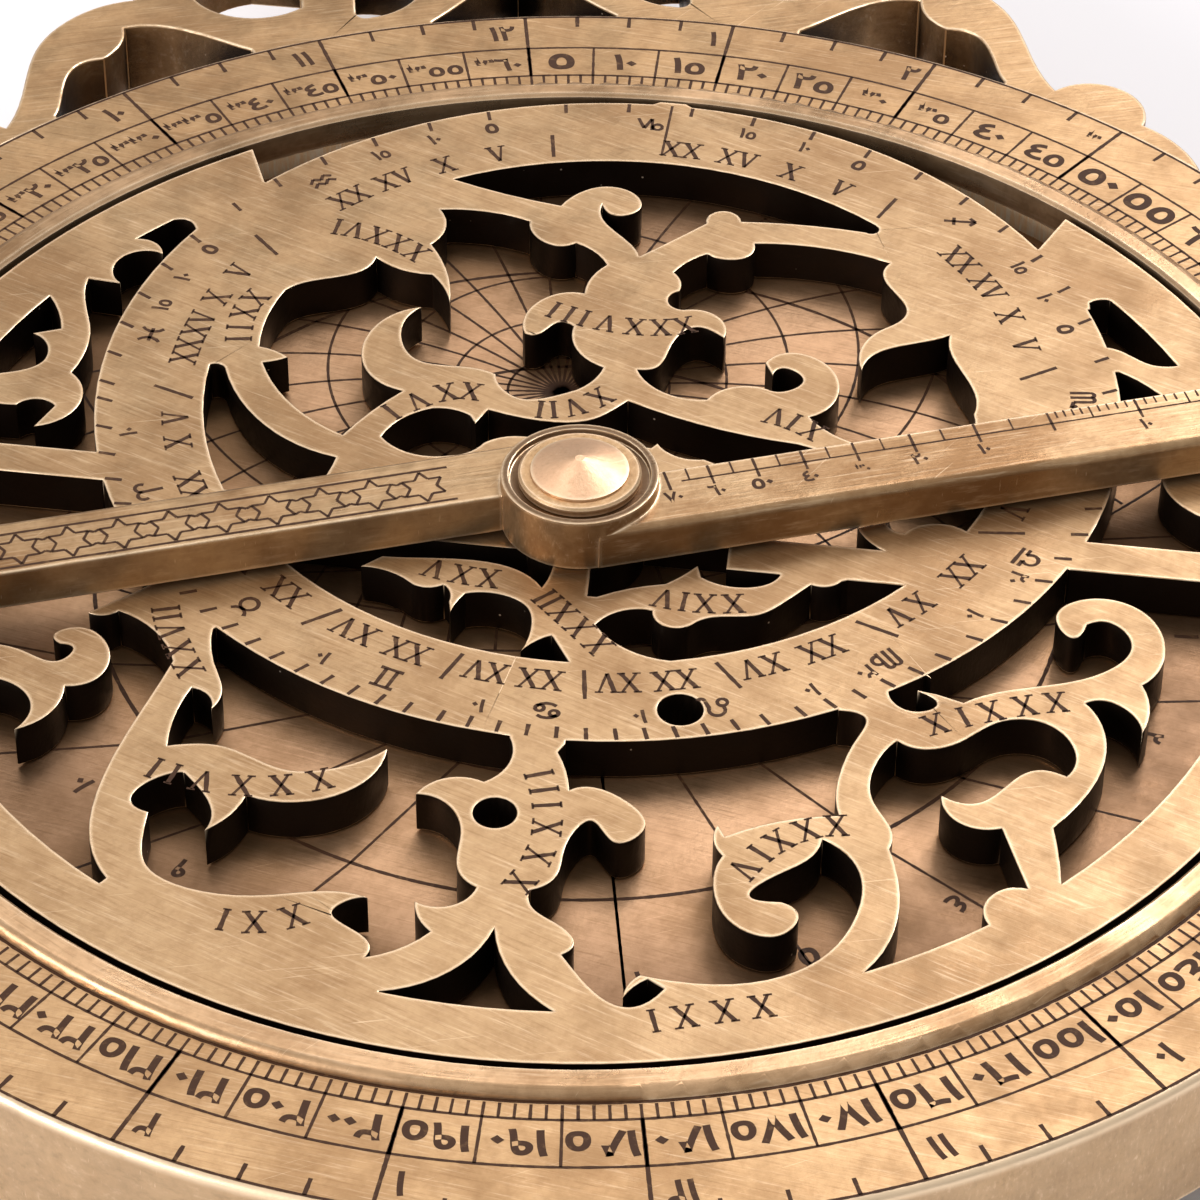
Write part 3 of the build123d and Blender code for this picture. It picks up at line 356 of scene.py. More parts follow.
def ring_of_grime(metal, colour, level, ring_r, half_width, depth):
    """A colour with a soft, dark ring on the level faces, at both sides of a radius."""
    away = metal.math("ABSOLUTE", metal.math("SUBTRACT", metal.radius(), ring_r * mm))
    ring = metal.ramp(away, half_width * mm, half_width * 0.5 * mm, 0.0, depth)
    return metal.mix(metal.math("MULTIPLY", ring, level), colour, ink_brown)


def aged_brass(
    name,
    face,
    patina=brown_patina,
    worn=cream,
    wall=None,
    wall_shade_reach=None,
    patina_share=0.5,
    brush_turn=0.0,
    turned=False,
    edge_reach=0.45,
    gloss=0.34,
    shade_and_grime_reach=1.6,
    shade_and_grime=0.75,
    highlight_rim_r=None,
    inner_wall_r=None,
    dark_ring=None,
):
    """Brass with patches of patina, fine scratches, grime and painted shade in the corners, and worn edges
    with a painted highlight.
    """
    metal = Metal(name)
    level = metal.levelness()
    colour, streaks = brushed_face(metal, face, patina, worn, patina_share, brush_turn, turned)
    # Corners and crevices darken towards the patina: grime, and painted shade where the parts shade each
    # other
    open_air = metal.hollow(shade_and_grime_reach * mm)
    colour = metal.mix(metal.ramp(open_air, 0.8, 0.25, 0.0, shade_and_grime), colour, patina)
    # Upright walls get painted shade
    if wall is not None:
        colour = dark_walls(metal, colour, level, wall, wall_shade_reach)
    bright = rubbed_places(metal, level, edge_reach, wall is not None, highlight_rim_r)
    # Edges and the rim are brightened: wear, and a painted highlight
    colour = metal.mix(bright, colour, worn)
    metal.shader.inputs["Metallic"].default_value = plain_metal
    # The hollow's inner wall gets painted light
    if inner_wall_r is not None:
        colour = golden_inner_wall(metal, colour, level, inner_wall_r)
    if dark_ring is not None:
        colour = ring_of_grime(metal, colour, level, *dark_ring)
    metal.link(colour, metal.shader.inputs["Base Color"])
    rough = metal.ramp(metal.noise(metal.place, 260.0, 5.0, 0.6), 0.3, 0.7, gloss - 0.05, gloss + 0.14)
    streaked = metal.math("MULTIPLY", streaks, 0.08)
    metal.link(metal.math("ADD", rough, streaked), metal.shader.inputs["Roughness"])
    grain = metal.noise(metal.place, 2600.0, 3.0, 0.6)
    height = metal.math("ADD", metal.math("MULTIPLY", streaks, 0.7), metal.math("MULTIPLY", grain, 0.6))
    metal.relief(height, 0.6, 0.035 * mm)
    return metal.material


def worn_edge(name, colour, shade, wall, gloss=0.3):
    """Bright metal of a rubbed edge with a painted highlight, tarnished in places, and painted shade where
    the edge stands upright.
    """
    metal = Metal(name)
    tarnish = metal.ramp(metal.noise(metal.place, 600.0, 5.0, 0.65), 0.4, 0.68, 0.0, 0.9)
    rubbed = metal.mix(tarnish, colour, shade)
    sloping = metal.ramp(metal.levelness(), 0.12, 0.4)
    metal.link(metal.mix(sloping, wall, rubbed), metal.shader.inputs["Base Color"])
    metal.shader.inputs["Metallic"].default_value = worn_metal
    metal.link(metal.ramp(tarnish, 0.0, 1.0, gloss, gloss + 0.2), metal.shader.inputs["Roughness"])
    metal.relief(metal.noise(metal.place, 3000.0, 3.0), 0.3, 0.02 * mm)
    return metal.material


def engraving_fill(name):
    """Dark wax and dirt in an engraved line, with a little metal showing through."""
    metal = Metal(name)
    rubbed = metal.ramp(metal.noise(metal.place, 1500.0, 4.0, 0.6), 0.52, 0.8, 0.0, 0.5)
    metal.link(metal.mix(rubbed, ink_brown, brown_patina), metal.shader.inputs["Base Color"])
    metal.shader.inputs["Metallic"].default_value = 0.0
    metal.shader.inputs["Specular IOR Level"].default_value = 0.25
    metal.link(metal.ramp(rubbed, 0.0, 1.0, 0.62, 0.45), metal.shader.inputs["Roughness"])
    metal.relief(metal.noise(metal.place, 4000.0, 2.0), 0.3, 0.02 * mm)
    return metal.material


ink = engraving_fill("engraving_fill")
face_brass = aged_brass(
    "limb_brass",
    tan_gold,
    brush_turn=-20.0,
    highlight_rim_r=rim_highlight_r,
    inner_wall_r=hollow_r,
    patina_share=0.6,
)
lip_brass = aged_brass("lip_brass", pink_gold, patina_share=0.7, turned=True, gloss=0.24, shade_and_grime=0.4)
back_brass = aged_brass("back_brass", olive_gold, brush_turn=55.0)
plate_brass = aged_brass(
    "plate_brass",
    copper,
    worn=pale_copper,
    brush_turn=-24.0,
    patina_share=0.65,
    edge_reach=0.15,
    # A long reach and strong darkening: painted shade from the rete and the limb over the plate, as well as
    # grime
    shade_and_grime_reach=4.0,
    shade_and_grime=0.85,
    # Painted shade on the plate towards its rim, under the rete and the limb
    dark_ring=(rete_r, 17.0, 0.5),
)
rete_brass = aged_brass(
    "rete_brass", olive_gold, wall=black_brown, brush_turn=-34.0, gloss=0.36, patina_share=0.6
)
throne_brass = aged_brass("throne_brass", tan_gold, wall=black_brown, wall_shade_reach=6.0, brush_turn=8.0)
rule_brass = aged_brass(
    "rule_brass",
    olive_gold,
    brush_turn=rule_turn,
    patina_share=0.95,
    gloss=0.28,
    shade_and_grime=0.9,
    # A dark ring on the hub's groove
    dark_ring=(hub_groove_r, hub_groove_width, 0.75),
)
fittings_brass = aged_brass("fittings_brass", tan_gold, turned=True)
alidade_brass = aged_brass("alidade_brass", olive_gold, brush_turn=90.0)
pin_copper = aged_brass(
    "pin_copper", pale_copper, patina=copper, worn=cream, patina_share=0.5, turned=True, gloss=0.33
)
# Edge metal: worn brass with a painted highlight, and painted shade where the bevel stands upright
edge_brass = worn_edge("worn_edge", cream, olive_gold, black_brown)
corner_brass = worn_edge("highlit_worn_corner", cream, olive_gold, olive_gold)
inner_edges = ("rete",)

finishes = {
    "limb": face_brass,
    "lip_ring": lip_brass,
    "back_plate": back_brass,
    "limb_rivets": back_brass,
    "throne_rivets": back_brass,
    "latitude_plate_1": plate_brass,
    "latitude_plate_2": plate_brass,
    "latitude_plate_3": plate_brass,
    "throne": throne_brass,
    "rete": rete_brass,
    "rule": rule_brass,
    "alidade": alidade_brass,
    "centre_pin": pin_copper,
}
edge_widths = {"rete": 0.06, "throne": 0.14, "rule": 0.08, "alidade": 0.12}
weld_gap = 0.002
sharp_angle = radians(35)


def dress(name, node):
    """Gives a CAD node its metal, and the openwork pieces a fine chamfer along their edges, bright with
    wear and a painted highlight.
    """
    node.data.materials.clear()
    node.data.materials.append(finishes.get(name, fittings_brass))
    node.data.materials.append(edge_brass if name in inner_edges else corner_brass)
    if name not in edge_widths:
        return
    weld = node.modifiers.new("weld", "WELD")
    weld.merge_threshold = weld_gap * mm
    bevel = node.modifiers.new("worn edges", "BEVEL")
    bevel.width = edge_widths[name] * mm
    bevel.segments = 2
    bevel.limit_method = "ANGLE"
    bevel.angle_limit = sharp_angle
    bevel.use_clamp_overlap = False
    bevel.material = 1
    weighted = node.modifiers.new("even shading", "WEIGHTED_NORMAL")
    weighted.keep_sharp = True


for node_name, cad_node in nodes.items():
    dress(node_name, cad_node)


# Engraving
figure_boldness = 0.03
glyphs = {}


def glyph(text):
    """The flat mesh of a number, centred on the origin: its points, its faces and its height."""
    if text not in glyphs:
        curve = bpy.data.curves.new("figure", "FONT")
        curve.body = text
        curve.resolution_u = 3
        curve.offset = figure_boldness
        figure = bpy.data.objects.new("figure", curve)
        bpy.context.scene.collection.objects.link(figure)
        graph = bpy.context.evaluated_depsgraph_get()
        mesh = bpy.data.meshes.new_from_object(figure.evaluated_get(graph))
        points = [(v.co.x, v.co.y) for v in mesh.vertices]
        faces = [tuple(face.vertices) for face in mesh.polygons]
        middle_x = (min(x for x, y in points) + max(x for x, y in points)) / 2
        low = min(y for x, y in points)
        high = max(y for x, y in points)
        middle_y = (low + high) / 2
        points = [(x - middle_x, y - middle_y) for x, y in points]
        glyphs[text] = (points, faces, high - low)
        bpy.data.objects.remove(figure)
        bpy.data.curves.remove(curve)
        bpy.data.meshes.remove(mesh)
    return glyphs[text]


def eastern(number):
    """A whole number in Arabic-Indic digits."""
    return "".join(chr(0x0660 + int(digit)) for digit in str(number))


# Widths of letters, serifs and strokes, as shares of a letter's or a sign's height
letter_widths = {"I": 0.42, "V": 0.86, "X": 0.86}
serif_half = 0.15
thick_stroke = 0.17
thin_stroke = 0.1
serif_stroke = 0.08
sign_stroke = 0.13

# Signs of the zodiac in a unit box: lines as x, y, x, y and arcs as x, y, radius, from, to
sign_strokes = (
    ((0.0, 0.2, 0.0, -0.5), (-0.2, 0.2, 0.2, 0, 220), (0.2, 0.2, 0.2, -40, 180)),
    ((0.0, -0.18, 0.3, 0, 360), (0.0, 0.45, 0.33, 200, 340)),
    (
        (-0.2, -0.4, -0.2, 0.4),
        (0.2, -0.4, 0.2, 0.4),
        (-0.4, 0.42, 0.4, 0.42),
        (-0.4, -0.42, 0.4, -0.42),
    ),
    (
        (-0.24, 0.1, 0.14, 0, 360),
        (0.24, -0.1, 0.14, 0, 360),
        (0.0, -0.1, 0.44, 50, 140),
        (0.0, 0.1, 0.44, 230, 320),
    ),
    (
        (-0.24, -0.14, 0.16, 0, 360),
        (0.0, 0.18, 0.26, -30, 200),
        (0.22, 0.05, 0.28, -0.28),
        (0.4, -0.3, 0.12, 180, 330),
    ),
    (
        (-0.4, 0.3, -0.4, -0.4),
        (-0.15, 0.3, -0.15, -0.4),
        (0.1, 0.3, 0.1, -0.4),
        (-0.28, 0.3, 0.12, 0, 180),
        (-0.02, 0.3, 0.12, 0, 180),
        (0.2, -0.08, 0.2, -110, 110),
    ),
    (
        (-0.45, -0.35, 0.45, -0.35),
        (-0.45, -0.12, -0.15, -0.12),
        (0.15, -0.12, 0.45, -0.12),
        (0.0, 0.1, 0.26, -58, 238),
    ),
    (
        (-0.4, 0.3, -0.4, -0.4),
        (-0.15, 0.3, -0.15, -0.4),
        (0.1, 0.3, 0.1, -0.3),
        (-0.28, 0.3, 0.12, 0, 180),
        (-0.02, 0.3, 0.12, 0, 180),
        (0.1, -0.3, 0.42, -0.4),
        (0.42, -0.4, 0.3, -0.2),
    ),
    ((-0.4, -0.4, 0.4, 0.4), (0.4, 0.4, 0.1, 0.4), (0.4, 0.4, 0.4, 0.1), (-0.3, 0.0, 0.0, -0.3)),
    (
        (-0.45, 0.35, -0.2, -0.25),
        (-0.2, -0.25, 0.05, 0.35),
        (0.05, 0.35, 0.1, -0.35),
        (0.28, -0.15, 0.17, 0, 360),
    ),
    (
        (-0.45, 0.05, -0.22, 0.25),
        (-0.22, 0.25, 0.0, 0.05),
        (0.0, 0.05, 0.22, 0.25),
        (0.22, 0.25, 0.45, 0.05),
        (-0.45, -0.25, -0.22, -0.05),
        (-0.22, -0.05, 0.0, -0.25),
        (0.0, -0.25, 0.22, -0.05),
        (0.22, -0.05, 0.45, -0.25),
    ),
    ((-0.35, 0.0, 0.35, 0.0), (-0.62, 0.0, 0.45, -55, 55), (0.62, 0.0, 0.45, 125, 235)),
)


class Engraving:
    """Flat dark strokes and figures on one face of one body, made into one mesh."""

    def __init__(self, name, body, level, turn=0.0, downward=False):
        self.name = name
        self.body = body
        self.level = level - engraving_lift if downward else level + engraving_lift
        self.turn = turn
        self.downward = downward
        self.points = []
        self.faces = []

    def add(self, points, faces):
        start = len(self.points)
        self.points.extend(points)
        self.faces.extend(tuple(start + index for index in face) for face in faces)

    def ribbon(self, path, width):
        """A line along a path, a little uneven in width as a hand-cut groove is."""
        corners = []
        for index, (x, y) in enumerate(path):
            before = path[max(index - 1, 0)]
            after = path[min(index + 1, len(path) - 1)]
            length = hypot(after[0] - before[0], after[1] - before[1]) or 1.0
            spot = Vector((x * waver_pace, y * waver_pace, waver_seed))
            half = width / 2 * (1.0 + waver * noise.noise(spot))
            side_x = -(after[1] - before[1]) / length * half
            side_y = (after[0] - before[0]) / length * half
            corners.append((x - side_x, y - side_y))
            corners.append((x + side_x, y + side_y))
        quads = [(2 * n, 2 * n + 2, 2 * n + 3, 2 * n + 1) for n in range(len(path) - 1)]
        self.add(corners, quads)

    def stroke(self, start, end, width=scale_line):
        """A straight line with square ends."""
        length = hypot(end[0] - start[0], end[1] - start[1])
        count = max(1, int(length / stroke_step))
        path = []
        for index in range(count + 1):
            share = index / count
            path.append((start[0] + (end[0] - start[0]) * share, start[1] + (end[1] - start[1]) * share))
        self.ribbon(path, width)

    def spoke(self, inner, outer, clock, width=scale_line):
        """A line along a radius, at a clock angle."""
        self.stroke(polar(inner, clock), polar(outer, clock), width)

    def arc(self, centre, radius, start=0.0, end=360.0, width=scale_line, inside=None):
        """A round line from one angle to another, counter-clockwise in degrees from +X."""
        swing = radians(end - start)
        count = max(4, int(abs(swing) * radius / stroke_step), int(abs(end - start) / 24))
        path = []
        for index in range(count + 1):
            angle = radians(start) + swing * index / count
            spot = (centre[0] + radius * cos(angle), centre[1] + radius * sin(angle))
            if inside is None or inside(*spot):
                path.append(spot)
            elif path:
                self.close(path, width)
                path = []
        self.close(path, width)

    def close(self, path, width):
        if len(path) > 1:
            self.ribbon(path, width)

    def figure(self, text, place, height, upward, width_share=1.0):
        """A number whose top points along an angle, counter-clockwise in degrees from +X."""
        points, faces, own_height = glyph(text)
        size = height / own_height
        across = -width_share if self.downward else width_share
        placed = [from_box(across * x, y, place, size, upward) for x, y in points]
        if self.downward:
            faces = [tuple(reversed(face)) for face in faces]
        self.add(placed, faces)

    def local_stroke(self, ends, place, height, upward, width):
        """A stroke given in a unit box, set at a place with the box's top along an angle."""
        start = from_box(*ends[:2], place, height, upward)
        end = from_box(*ends[2:], place, height, upward)
        self.stroke(start, end, width * height)

    def letter(self, letter, place, height, upward):
        """One Roman letter of straight strokes with serifs."""
        side = letter_widths[letter] / 2 - serif_half
        strokes = {
            "I": ((0.0, -0.5, 0.0, 0.5, thick_stroke),),
            "V": ((-side, 0.5, 0.0, -0.5, thick_stroke), (side, 0.5, 0.0, -0.5, thin_stroke)),
            "X": ((-side, 0.5, side, -0.5, thick_stroke), (side, 0.5, -side, -0.5, thin_stroke)),
        }
        feet = {
            "I": ((0.0, -0.5), (0.0, 0.5)),
            "V": ((-side, 0.5), (side, 0.5)),
            "X": ((-side, 0.5), (side, 0.5), (-side, -0.5), (side, -0.5)),
        }
        for *ends, width in strokes[letter]:
            self.local_stroke(ends, place, height, upward, width)
        for x, y in feet[letter]:
            serif = (x - serif_half, y, x + serif_half, y)
            self.local_stroke(serif, place, height, upward, serif_stroke)

    def word(self, word, place, height, upward):
        """Roman letters in a straight row, with the middle at a place."""
        along = radians(upward - 90.0)
        pen = -sum(letter_widths[letter] for letter in word) / 2
        for letter in word:
            step = letter_widths[letter]
            shift = (pen + step / 2) * height
            spot = (place[0] + shift * cos(along), place[1] + shift * sin(along))
            self.letter(letter, spot, height, upward)
            pen += step

    def curved_word(self, word, start, middle, end, height):
        """Roman letters spread along a gentle bend through three points, tops to the left of the way."""
        bend = [2 * m - (s + e) / 2 for s, m, e in zip(start, middle, end)]
        total = sum(letter_widths[letter] for letter in word)
        done = 0.0
        for letter in word:
            share = (done + letter_widths[letter] / 2) / total
            rest = 1 - share
            spot = []
            way = []
            for s, b, e in zip(start, bend, end):
                spot.append(rest * rest * s + 2 * rest * share * b + share * share * e)
                way.append(rest * (b - s) + share * (e - b))
            self.letter(letter, spot, height, degrees(atan2(way[1], way[0])) + 90.0)
            done += letter_widths[letter]

    def sign(self, index, place, height, upward):
        """One of the twelve signs, counted from the vernal point."""
        for shape in sign_strokes[index]:
            if len(shape) == 4:
                self.local_stroke(shape, place, height, upward, sign_stroke)
                continue
            x, y, radius, first, last = shape
            centre = from_box(x, y, place, height, upward)
            first = first + upward - 90.0
            last = last + upward - 90.0
            self.arc(centre, radius * height, first, last, sign_stroke * height)

    def make(self):
        """The mesh object of all that has been added, riding on its body."""
        placed = []
        for x, y in self.points:
            x, y = rotate(x, y, radians(self.turn))
            placed.append((x * mm, y * mm, self.level * mm))
        if self.downward:
            faces = [tuple(reversed(face)) for face in self.faces]
        else:
            faces = self.faces
        mesh = bpy.data.meshes.new(self.name)
        mesh.from_pydata(placed, [], faces)
        mesh.materials.append(ink)
        piece = bpy.data.objects.new(self.name, mesh)
        bpy.context.scene.collection.objects.link(piece)
        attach(piece, self.body)


def engrave_limb():
    """Hours, five-degree cells with their numbers, and single degrees, round the limb."""
    lines = Engraving("limb_scale_lines", "mater", face_z)
    for radius in (hour_line_r, cell_outer_r, cell_inner_r):
        lines.arc((0, 0), radius, width=scale_line)
    # A bold dark ring where the lip ring meets the limb: painted shade in the crevice between the parts
    lines.arc((0, 0), crevice_r, width=bold_line)
    for hour in range(hour_count):
        clock = hour * 360.0 / hour_count
        lines.spoke(cell_inner_r, hour_line_r, clock, bold_line)
        for quarter in (1, 2, 3):
            lines.spoke(quarter_inner_r, hour_line_r, clock + quarter * 90.0 / hour_count, bold_line)
    for degree in range(360):
        if degree % cell_degrees == 0:
            lines.spoke(cell_inner_r, cell_outer_r, degree)
        lines.spoke(degree_inner_r, cell_inner_r, degree)
    lines.make()
    numbers = Engraving("limb_numbers", "mater", face_z)
    for hour in range(1, hour_count + 1):
        number = (hour - 1) % 12 + 1
        half_width = one_digit_half_width if number < 10 else two_digit_half_width
        clock = hour * 360.0 / hour_count - degrees((half_width + hour_number_gap) / hour_number_r)
        numbers.figure(eastern(number), polar(hour_number_r, clock), hour_number_height, 90.0 - clock)
    for value in range(cell_degrees, 360 + cell_degrees, cell_degrees):
        clock = value - cell_degrees / 2
        place = polar(cell_number_r, clock)
        numbers.figure(eastern(value), place, cell_number_height, 90.0 - clock, cell_number_stretch)
    numbers.make()


# The sun's way through the year: degrees at its start, degrees a day, and terms of its uneven speed
mean_start = 279.9
mean_rate = 0.9856474
anomaly_start = 356.9
anomaly_rate = 0.9856003
first_term = 1.915
second_term = 0.02


def solar_longitude(day):
    """The sun's longitude in degrees, a number of days after the start of the year."""
    mean = mean_start + mean_rate * day
    anomaly = radians(anomaly_start + anomaly_rate * day)
    return mean + first_term * sin(anomaly) + second_term * sin(2 * anomaly)


def ring_angle(longitude):
    """The direction from the pole, in degrees from +X, of a point of the ecliptic."""
    along = radians(longitude)
    ascension = degrees(atan2(sin(along) * cos(obliquity), cos(along)))
    return ascension + 180.0


def on_ring(angle, inset):
    """The point on the ecliptic ring in a direction from the pole, an inset in from its outer edge."""
    x = cos(radians(angle))
    y = sin(radians(angle))
    radius = ecliptic_r - inset
    along = y * ecliptic_shift
    reach = along + sqrt(along * along - (ecliptic_shift**2 - radius**2))
    return reach * x, reach * y


def ring_outward(place):
    """The direction away from the middle of the ecliptic ring, in degrees from +X."""
    return degrees(atan2(place[1] - ecliptic_shift, place[0]))


# The ecliptic ring's calendar: insets from its outer edge and heights, in millimetres
month_days = (31, 28, 31, 30, 31, 30, 31, 31, 30, 31, 30, 31)
day_tick_start = 0.15
day_tick_end = 1.2
day_number_inset = 2.25
day_number_height = 1.25
month_line_start = 3.9
month_line_end = 6.6
roman_inset = 5.45
roman_height = 1.75
roman_days = {5: "V", 10: "X", 15: "XV", 20: "XX"}

# The days are far apart on the side of the ring that lies so far above its middle
roomy_rise = 4.0
roomy_days = (5, 10, 15, 20)
close_days = (5, 10, 20)

# The signs on the ring, and in degrees how far past its start each stands and what it keeps clear
sign_inset = 2.6
sign_height = 2.0
sign_shift = 1.5
sign_clearance = 4.0

# The line at the rete's top, in millimetres from the axis, and the numbers beside the pointers
top_line_start = 42.0
top_line_end = 48.3
pointer_height = 1.75

# Numbers beside the star pointers: the letters, then where they start, bend and end on the rete
pointer_numbers = (
    ("XXXVI", (-14.8, 27.3), (-18.2, 29.3), (-22.0, 30.1)),
    ("XXII", (-25.3, 21.7), (-26.1, 19.3), (-25.8, 15.6)),
    ("XXXVIII", (4.9, 22.6), (0.3, 21.6), (-5.6, 22.9)),
    ("XXVI", (-8.5, 12.7), (-11.3, 12.3), (-14.7, 9.3)),
    ("XVII", (0.2, 14.4), (-2.1, 12.2), (-4.8, 11.6)),
    ("XIV", (15.0, 11.3), (12.7, 12.7), (10.6, 13.3)),
    ("XXV", (-4.2, -6.2), (-6.8, -6.1), (-9.6, -5.5)),
    ("XXXII", (3.6, -12.4), (0.8, -9.5), (-1.5, -7.2)),
    ("XXIV", (11.8, -6.2), (8.6, -6.7), (5.5, -6.4)),
    ("XXVII", (-21.8, -18.4), (-23.8, -15.0), (-25.1, -11.8)),
    ("XXXVII", (-11.2, -25.9), (-16.9, -27.7), (-23.2, -26.7)),
    ("XXI", (-10.7, -37.7), (-13.3, -39.1), (-16.4, -39.2)),
    ("XXXIII", (0.6, -34.8), (2.1, -29.4), (0.6, -23.4)),
    ("XXXIV", (20.4, -25.9), (16.5, -27.5), (13.8, -31.8)),
    ("XXXI", (17.7, -41.5), (14.0, -42.7), (10.0, -44.1)),
    ("XXXIX", (32.8, -12.7), (28.5, -14.1), (23.4, -16.7)),
)


def engrave_calendar(lines, numbers):
    """A tick for every fifth day round the ecliptic ring, with numbers, and a line where a month starts."""
    day_of_year = 0
    for days in month_days:
        first = ring_angle(solar_longitude(day_of_year))
        lines.stroke(on_ring(first, month_line_start), on_ring(first, month_line_end), bold_line)
        for day in range(5, 31, 5):
            longitude = solar_longitude(day_of_year + day)
            angle = ring_angle(longitude)
            lines.stroke(on_ring(angle, day_tick_start), on_ring(angle, day_tick_end), bold_line)
            place = on_ring(angle, day_number_inset)
            roomy = place[1] > ecliptic_shift + roomy_rise
            past_sign = (longitude - sign_shift + sign_clearance) % 30
            free = past_sign > 2 * sign_clearance
            if free and day < 30 and (roomy or day % 10 == 0):
                numbers.figure(eastern(day), place, day_number_height, ring_outward(place))
            if day in (roomy_days if roomy else close_days):
                place = on_ring(angle, roman_inset)
                numbers.word(roman_days[day], place, roman_height, ring_outward(place))
        day_of_year += days


def engrave_rete():
    """The calendar and the signs on the ecliptic ring, and the numbers beside the star pointers."""
    lines = Engraving("rete_scale_lines", "rete", rete_z, rete_turn)
    numbers = Engraving("rete_numbers", "rete", rete_z, rete_turn)
    engrave_calendar(lines, numbers)
    for sign in range(12):
        angle = ring_angle(30.0 * sign + sign_shift)
        place = on_ring(angle, sign_inset)
        numbers.sign(sign, place, sign_height, ring_outward(place))
    for letters, first, middle, last in pointer_numbers:
        numbers.curved_word(letters, first, middle, last, pointer_height)
    lines.stroke((0, top_line_start), (0, top_line_end), scale_line)
    lines.make()
    numbers.make()


# The plate's lines stop short of its rim, and each hour's number stands out past its curve
plate_margin = 0.4
hour_label_reach = 1.22
hour_label_shift = 1.2
hour_label_height = 1.6


def engrave_plate():
    """Circles of altitude and azimuth above the horizon, and the hours below it."""
    lines = Engraving("plate_lines", "mater", plate_z)
    high = sin(plate_latitude)
    wide = cos(plate_latitude)
    horizon = (0.0, equator_r * wide / high)
    horizon_r = equator_r / high

    def inside(x, y):
        return hypot(x, y) < rete_r - plate_margin

    def above(x, y):
        return inside(x, y) and hypot(x - horizon[0], y - horizon[1]) < horizon_r

    for radius in (northern_tropic_r, equator_r):
        lines.arc((0, 0), radius, width=bold_line)
    for altitude in range(0, 90, 10):
        rise = sin(radians(altitude)) + high
        centre = (0.0, equator_r * wide / rise)
        lines.arc(centre, equator_r * cos(radians(altitude)) / rise, inside=inside)
    zenith = equator_r * tan(pi / 4 - plate_latitude / 2)
    nadir = -equator_r * tan(pi / 4 + plate_latitude / 2)
    middle = (zenith + nadir) / 2
    half = (zenith - nadir) / 2
    for azimuth in range(-80, 90, 10):
        shift = half * tan(radians(azimuth))
        lines.arc((shift, middle), half / cos(radians(azimuth)), inside=above)
    lines.stroke((0, -rete_r), (0, rete_r), scale_line)
    lines.stroke((-rete_r, 0), (rete_r, 0), scale_line)
    for hour in range(1, 12):
        points = []
        for radius in (northern_tropic_r, equator_r, rete_r - plate_margin):
            crossing = (radius**2 + horizon[1] ** 2 - horizon_r**2) / (2 * horizon[1] * radius)
            rising = degrees(atan2(crossing, sqrt(1 - crossing**2)))
            angle = radians(rising - hour * (180.0 + 2 * rising) / 12)
            points.append((radius * cos(angle), radius * sin(angle)))
        lines.stroke(points[0], points[1], scale_line)
        lines.stroke(points[1], points[2], scale_line)
        label_x = points[1][0] * hour_label_reach + hour_label_shift
        label_y = points[1][1] * hour_label_reach
        upward = degrees(atan2(label_y, label_x))
        lines.figure(eastern(hour), (label_x, label_y), hour_label_height, upward)
    lines.make()


# Along the rule, in millimetres from the axis, and across it from the line through the axis
rule_scale_start = 6.5
rule_scale_end = 52.0
rule_tick_start = 0.1
rule_short_tick = 0.75
rule_tick = 1.25
rule_long_tick = 2.0
rule_number_height = 1.1
rule_number_y = -2.7


def engrave_rule_scale():
    """Declinations along one arm of the rule."""
    lines = Engraving("rule_scale_lines", "rule", rule_z, rule_turn)
    numbers = Engraving("rule_numbers", "rule", rule_z, rule_turn)
    lines.stroke((rule_scale_start, -rule_tick), (rule_scale_end, -rule_tick), fine_line)
    for declination in range(75, -25, -1):
        distance = equator_r * tan(pi / 4 - radians(declination) / 2)
        if distance > rule_scale_end:
            continue
        start = (distance, -rule_tick_start)
        if declination % 10 == 0:
            lines.stroke(start, (distance, -rule_long_tick), scale_line)
            if declination != 0:
                place = (distance, rule_number_y)
                numbers.figure(eastern(abs(declination)), place, rule_number_height, 90.0)
        elif declination % 5 == 0:
            lines.stroke(start, (distance, -rule_tick), fine_line)
        elif declination < 0:
            lines.stroke(start, (distance, -rule_short_tick), fine_line)
    lines.make()
    numbers.make()


# The row of stars: its border lines, its reach along the rule, and the sizes of each star
pattern_start = -50.0
pattern_end = -8.0
pattern_low = 0.45
pattern_high = 3.75
first_star = -9.9
last_star = -49.0
star_pitch = 3.3
star_r = 1.5
star_waist = 0.58
star_side = 0.87
star_side_y = 0.75
joint_y = 0.55


def engrave_rule_pattern():
    """A row of linked six-pointed stars between two lines, along the rule's other arm."""
    pattern = Engraving("rule_pattern", "rule", rule_z, rule_turn)
    middle = (pattern_low + pattern_high) / 2
    for border in (pattern_low, pattern_high):
        pattern.stroke((pattern_start, border), (pattern_end, border), scale_line)
    star = first_star
    while star > last_star:
        tips = []
        for corner in range(12):
            reach = star_r if corner % 2 == 0 else star_r * star_waist
            angle = radians(30.0 * corner + 30.0)
            tips.append((star + reach * cos(angle), middle + reach * sin(angle)))
        for first, last in zip(tips, tips[1:] + tips[:1]):
            pattern.stroke(first, last, scale_line)
        next_star = star - star_pitch
        for side in (-1, 1):
            joint = (star - star_pitch / 2, middle + side * joint_y)
            link_y = middle + side * star_side_y
            pattern.stroke((star - star_r * star_side, link_y), joint, scale_line)
            pattern.stroke((next_star + star_r * star_side, link_y), joint, scale_line)
        star = next_star
    pattern.make()


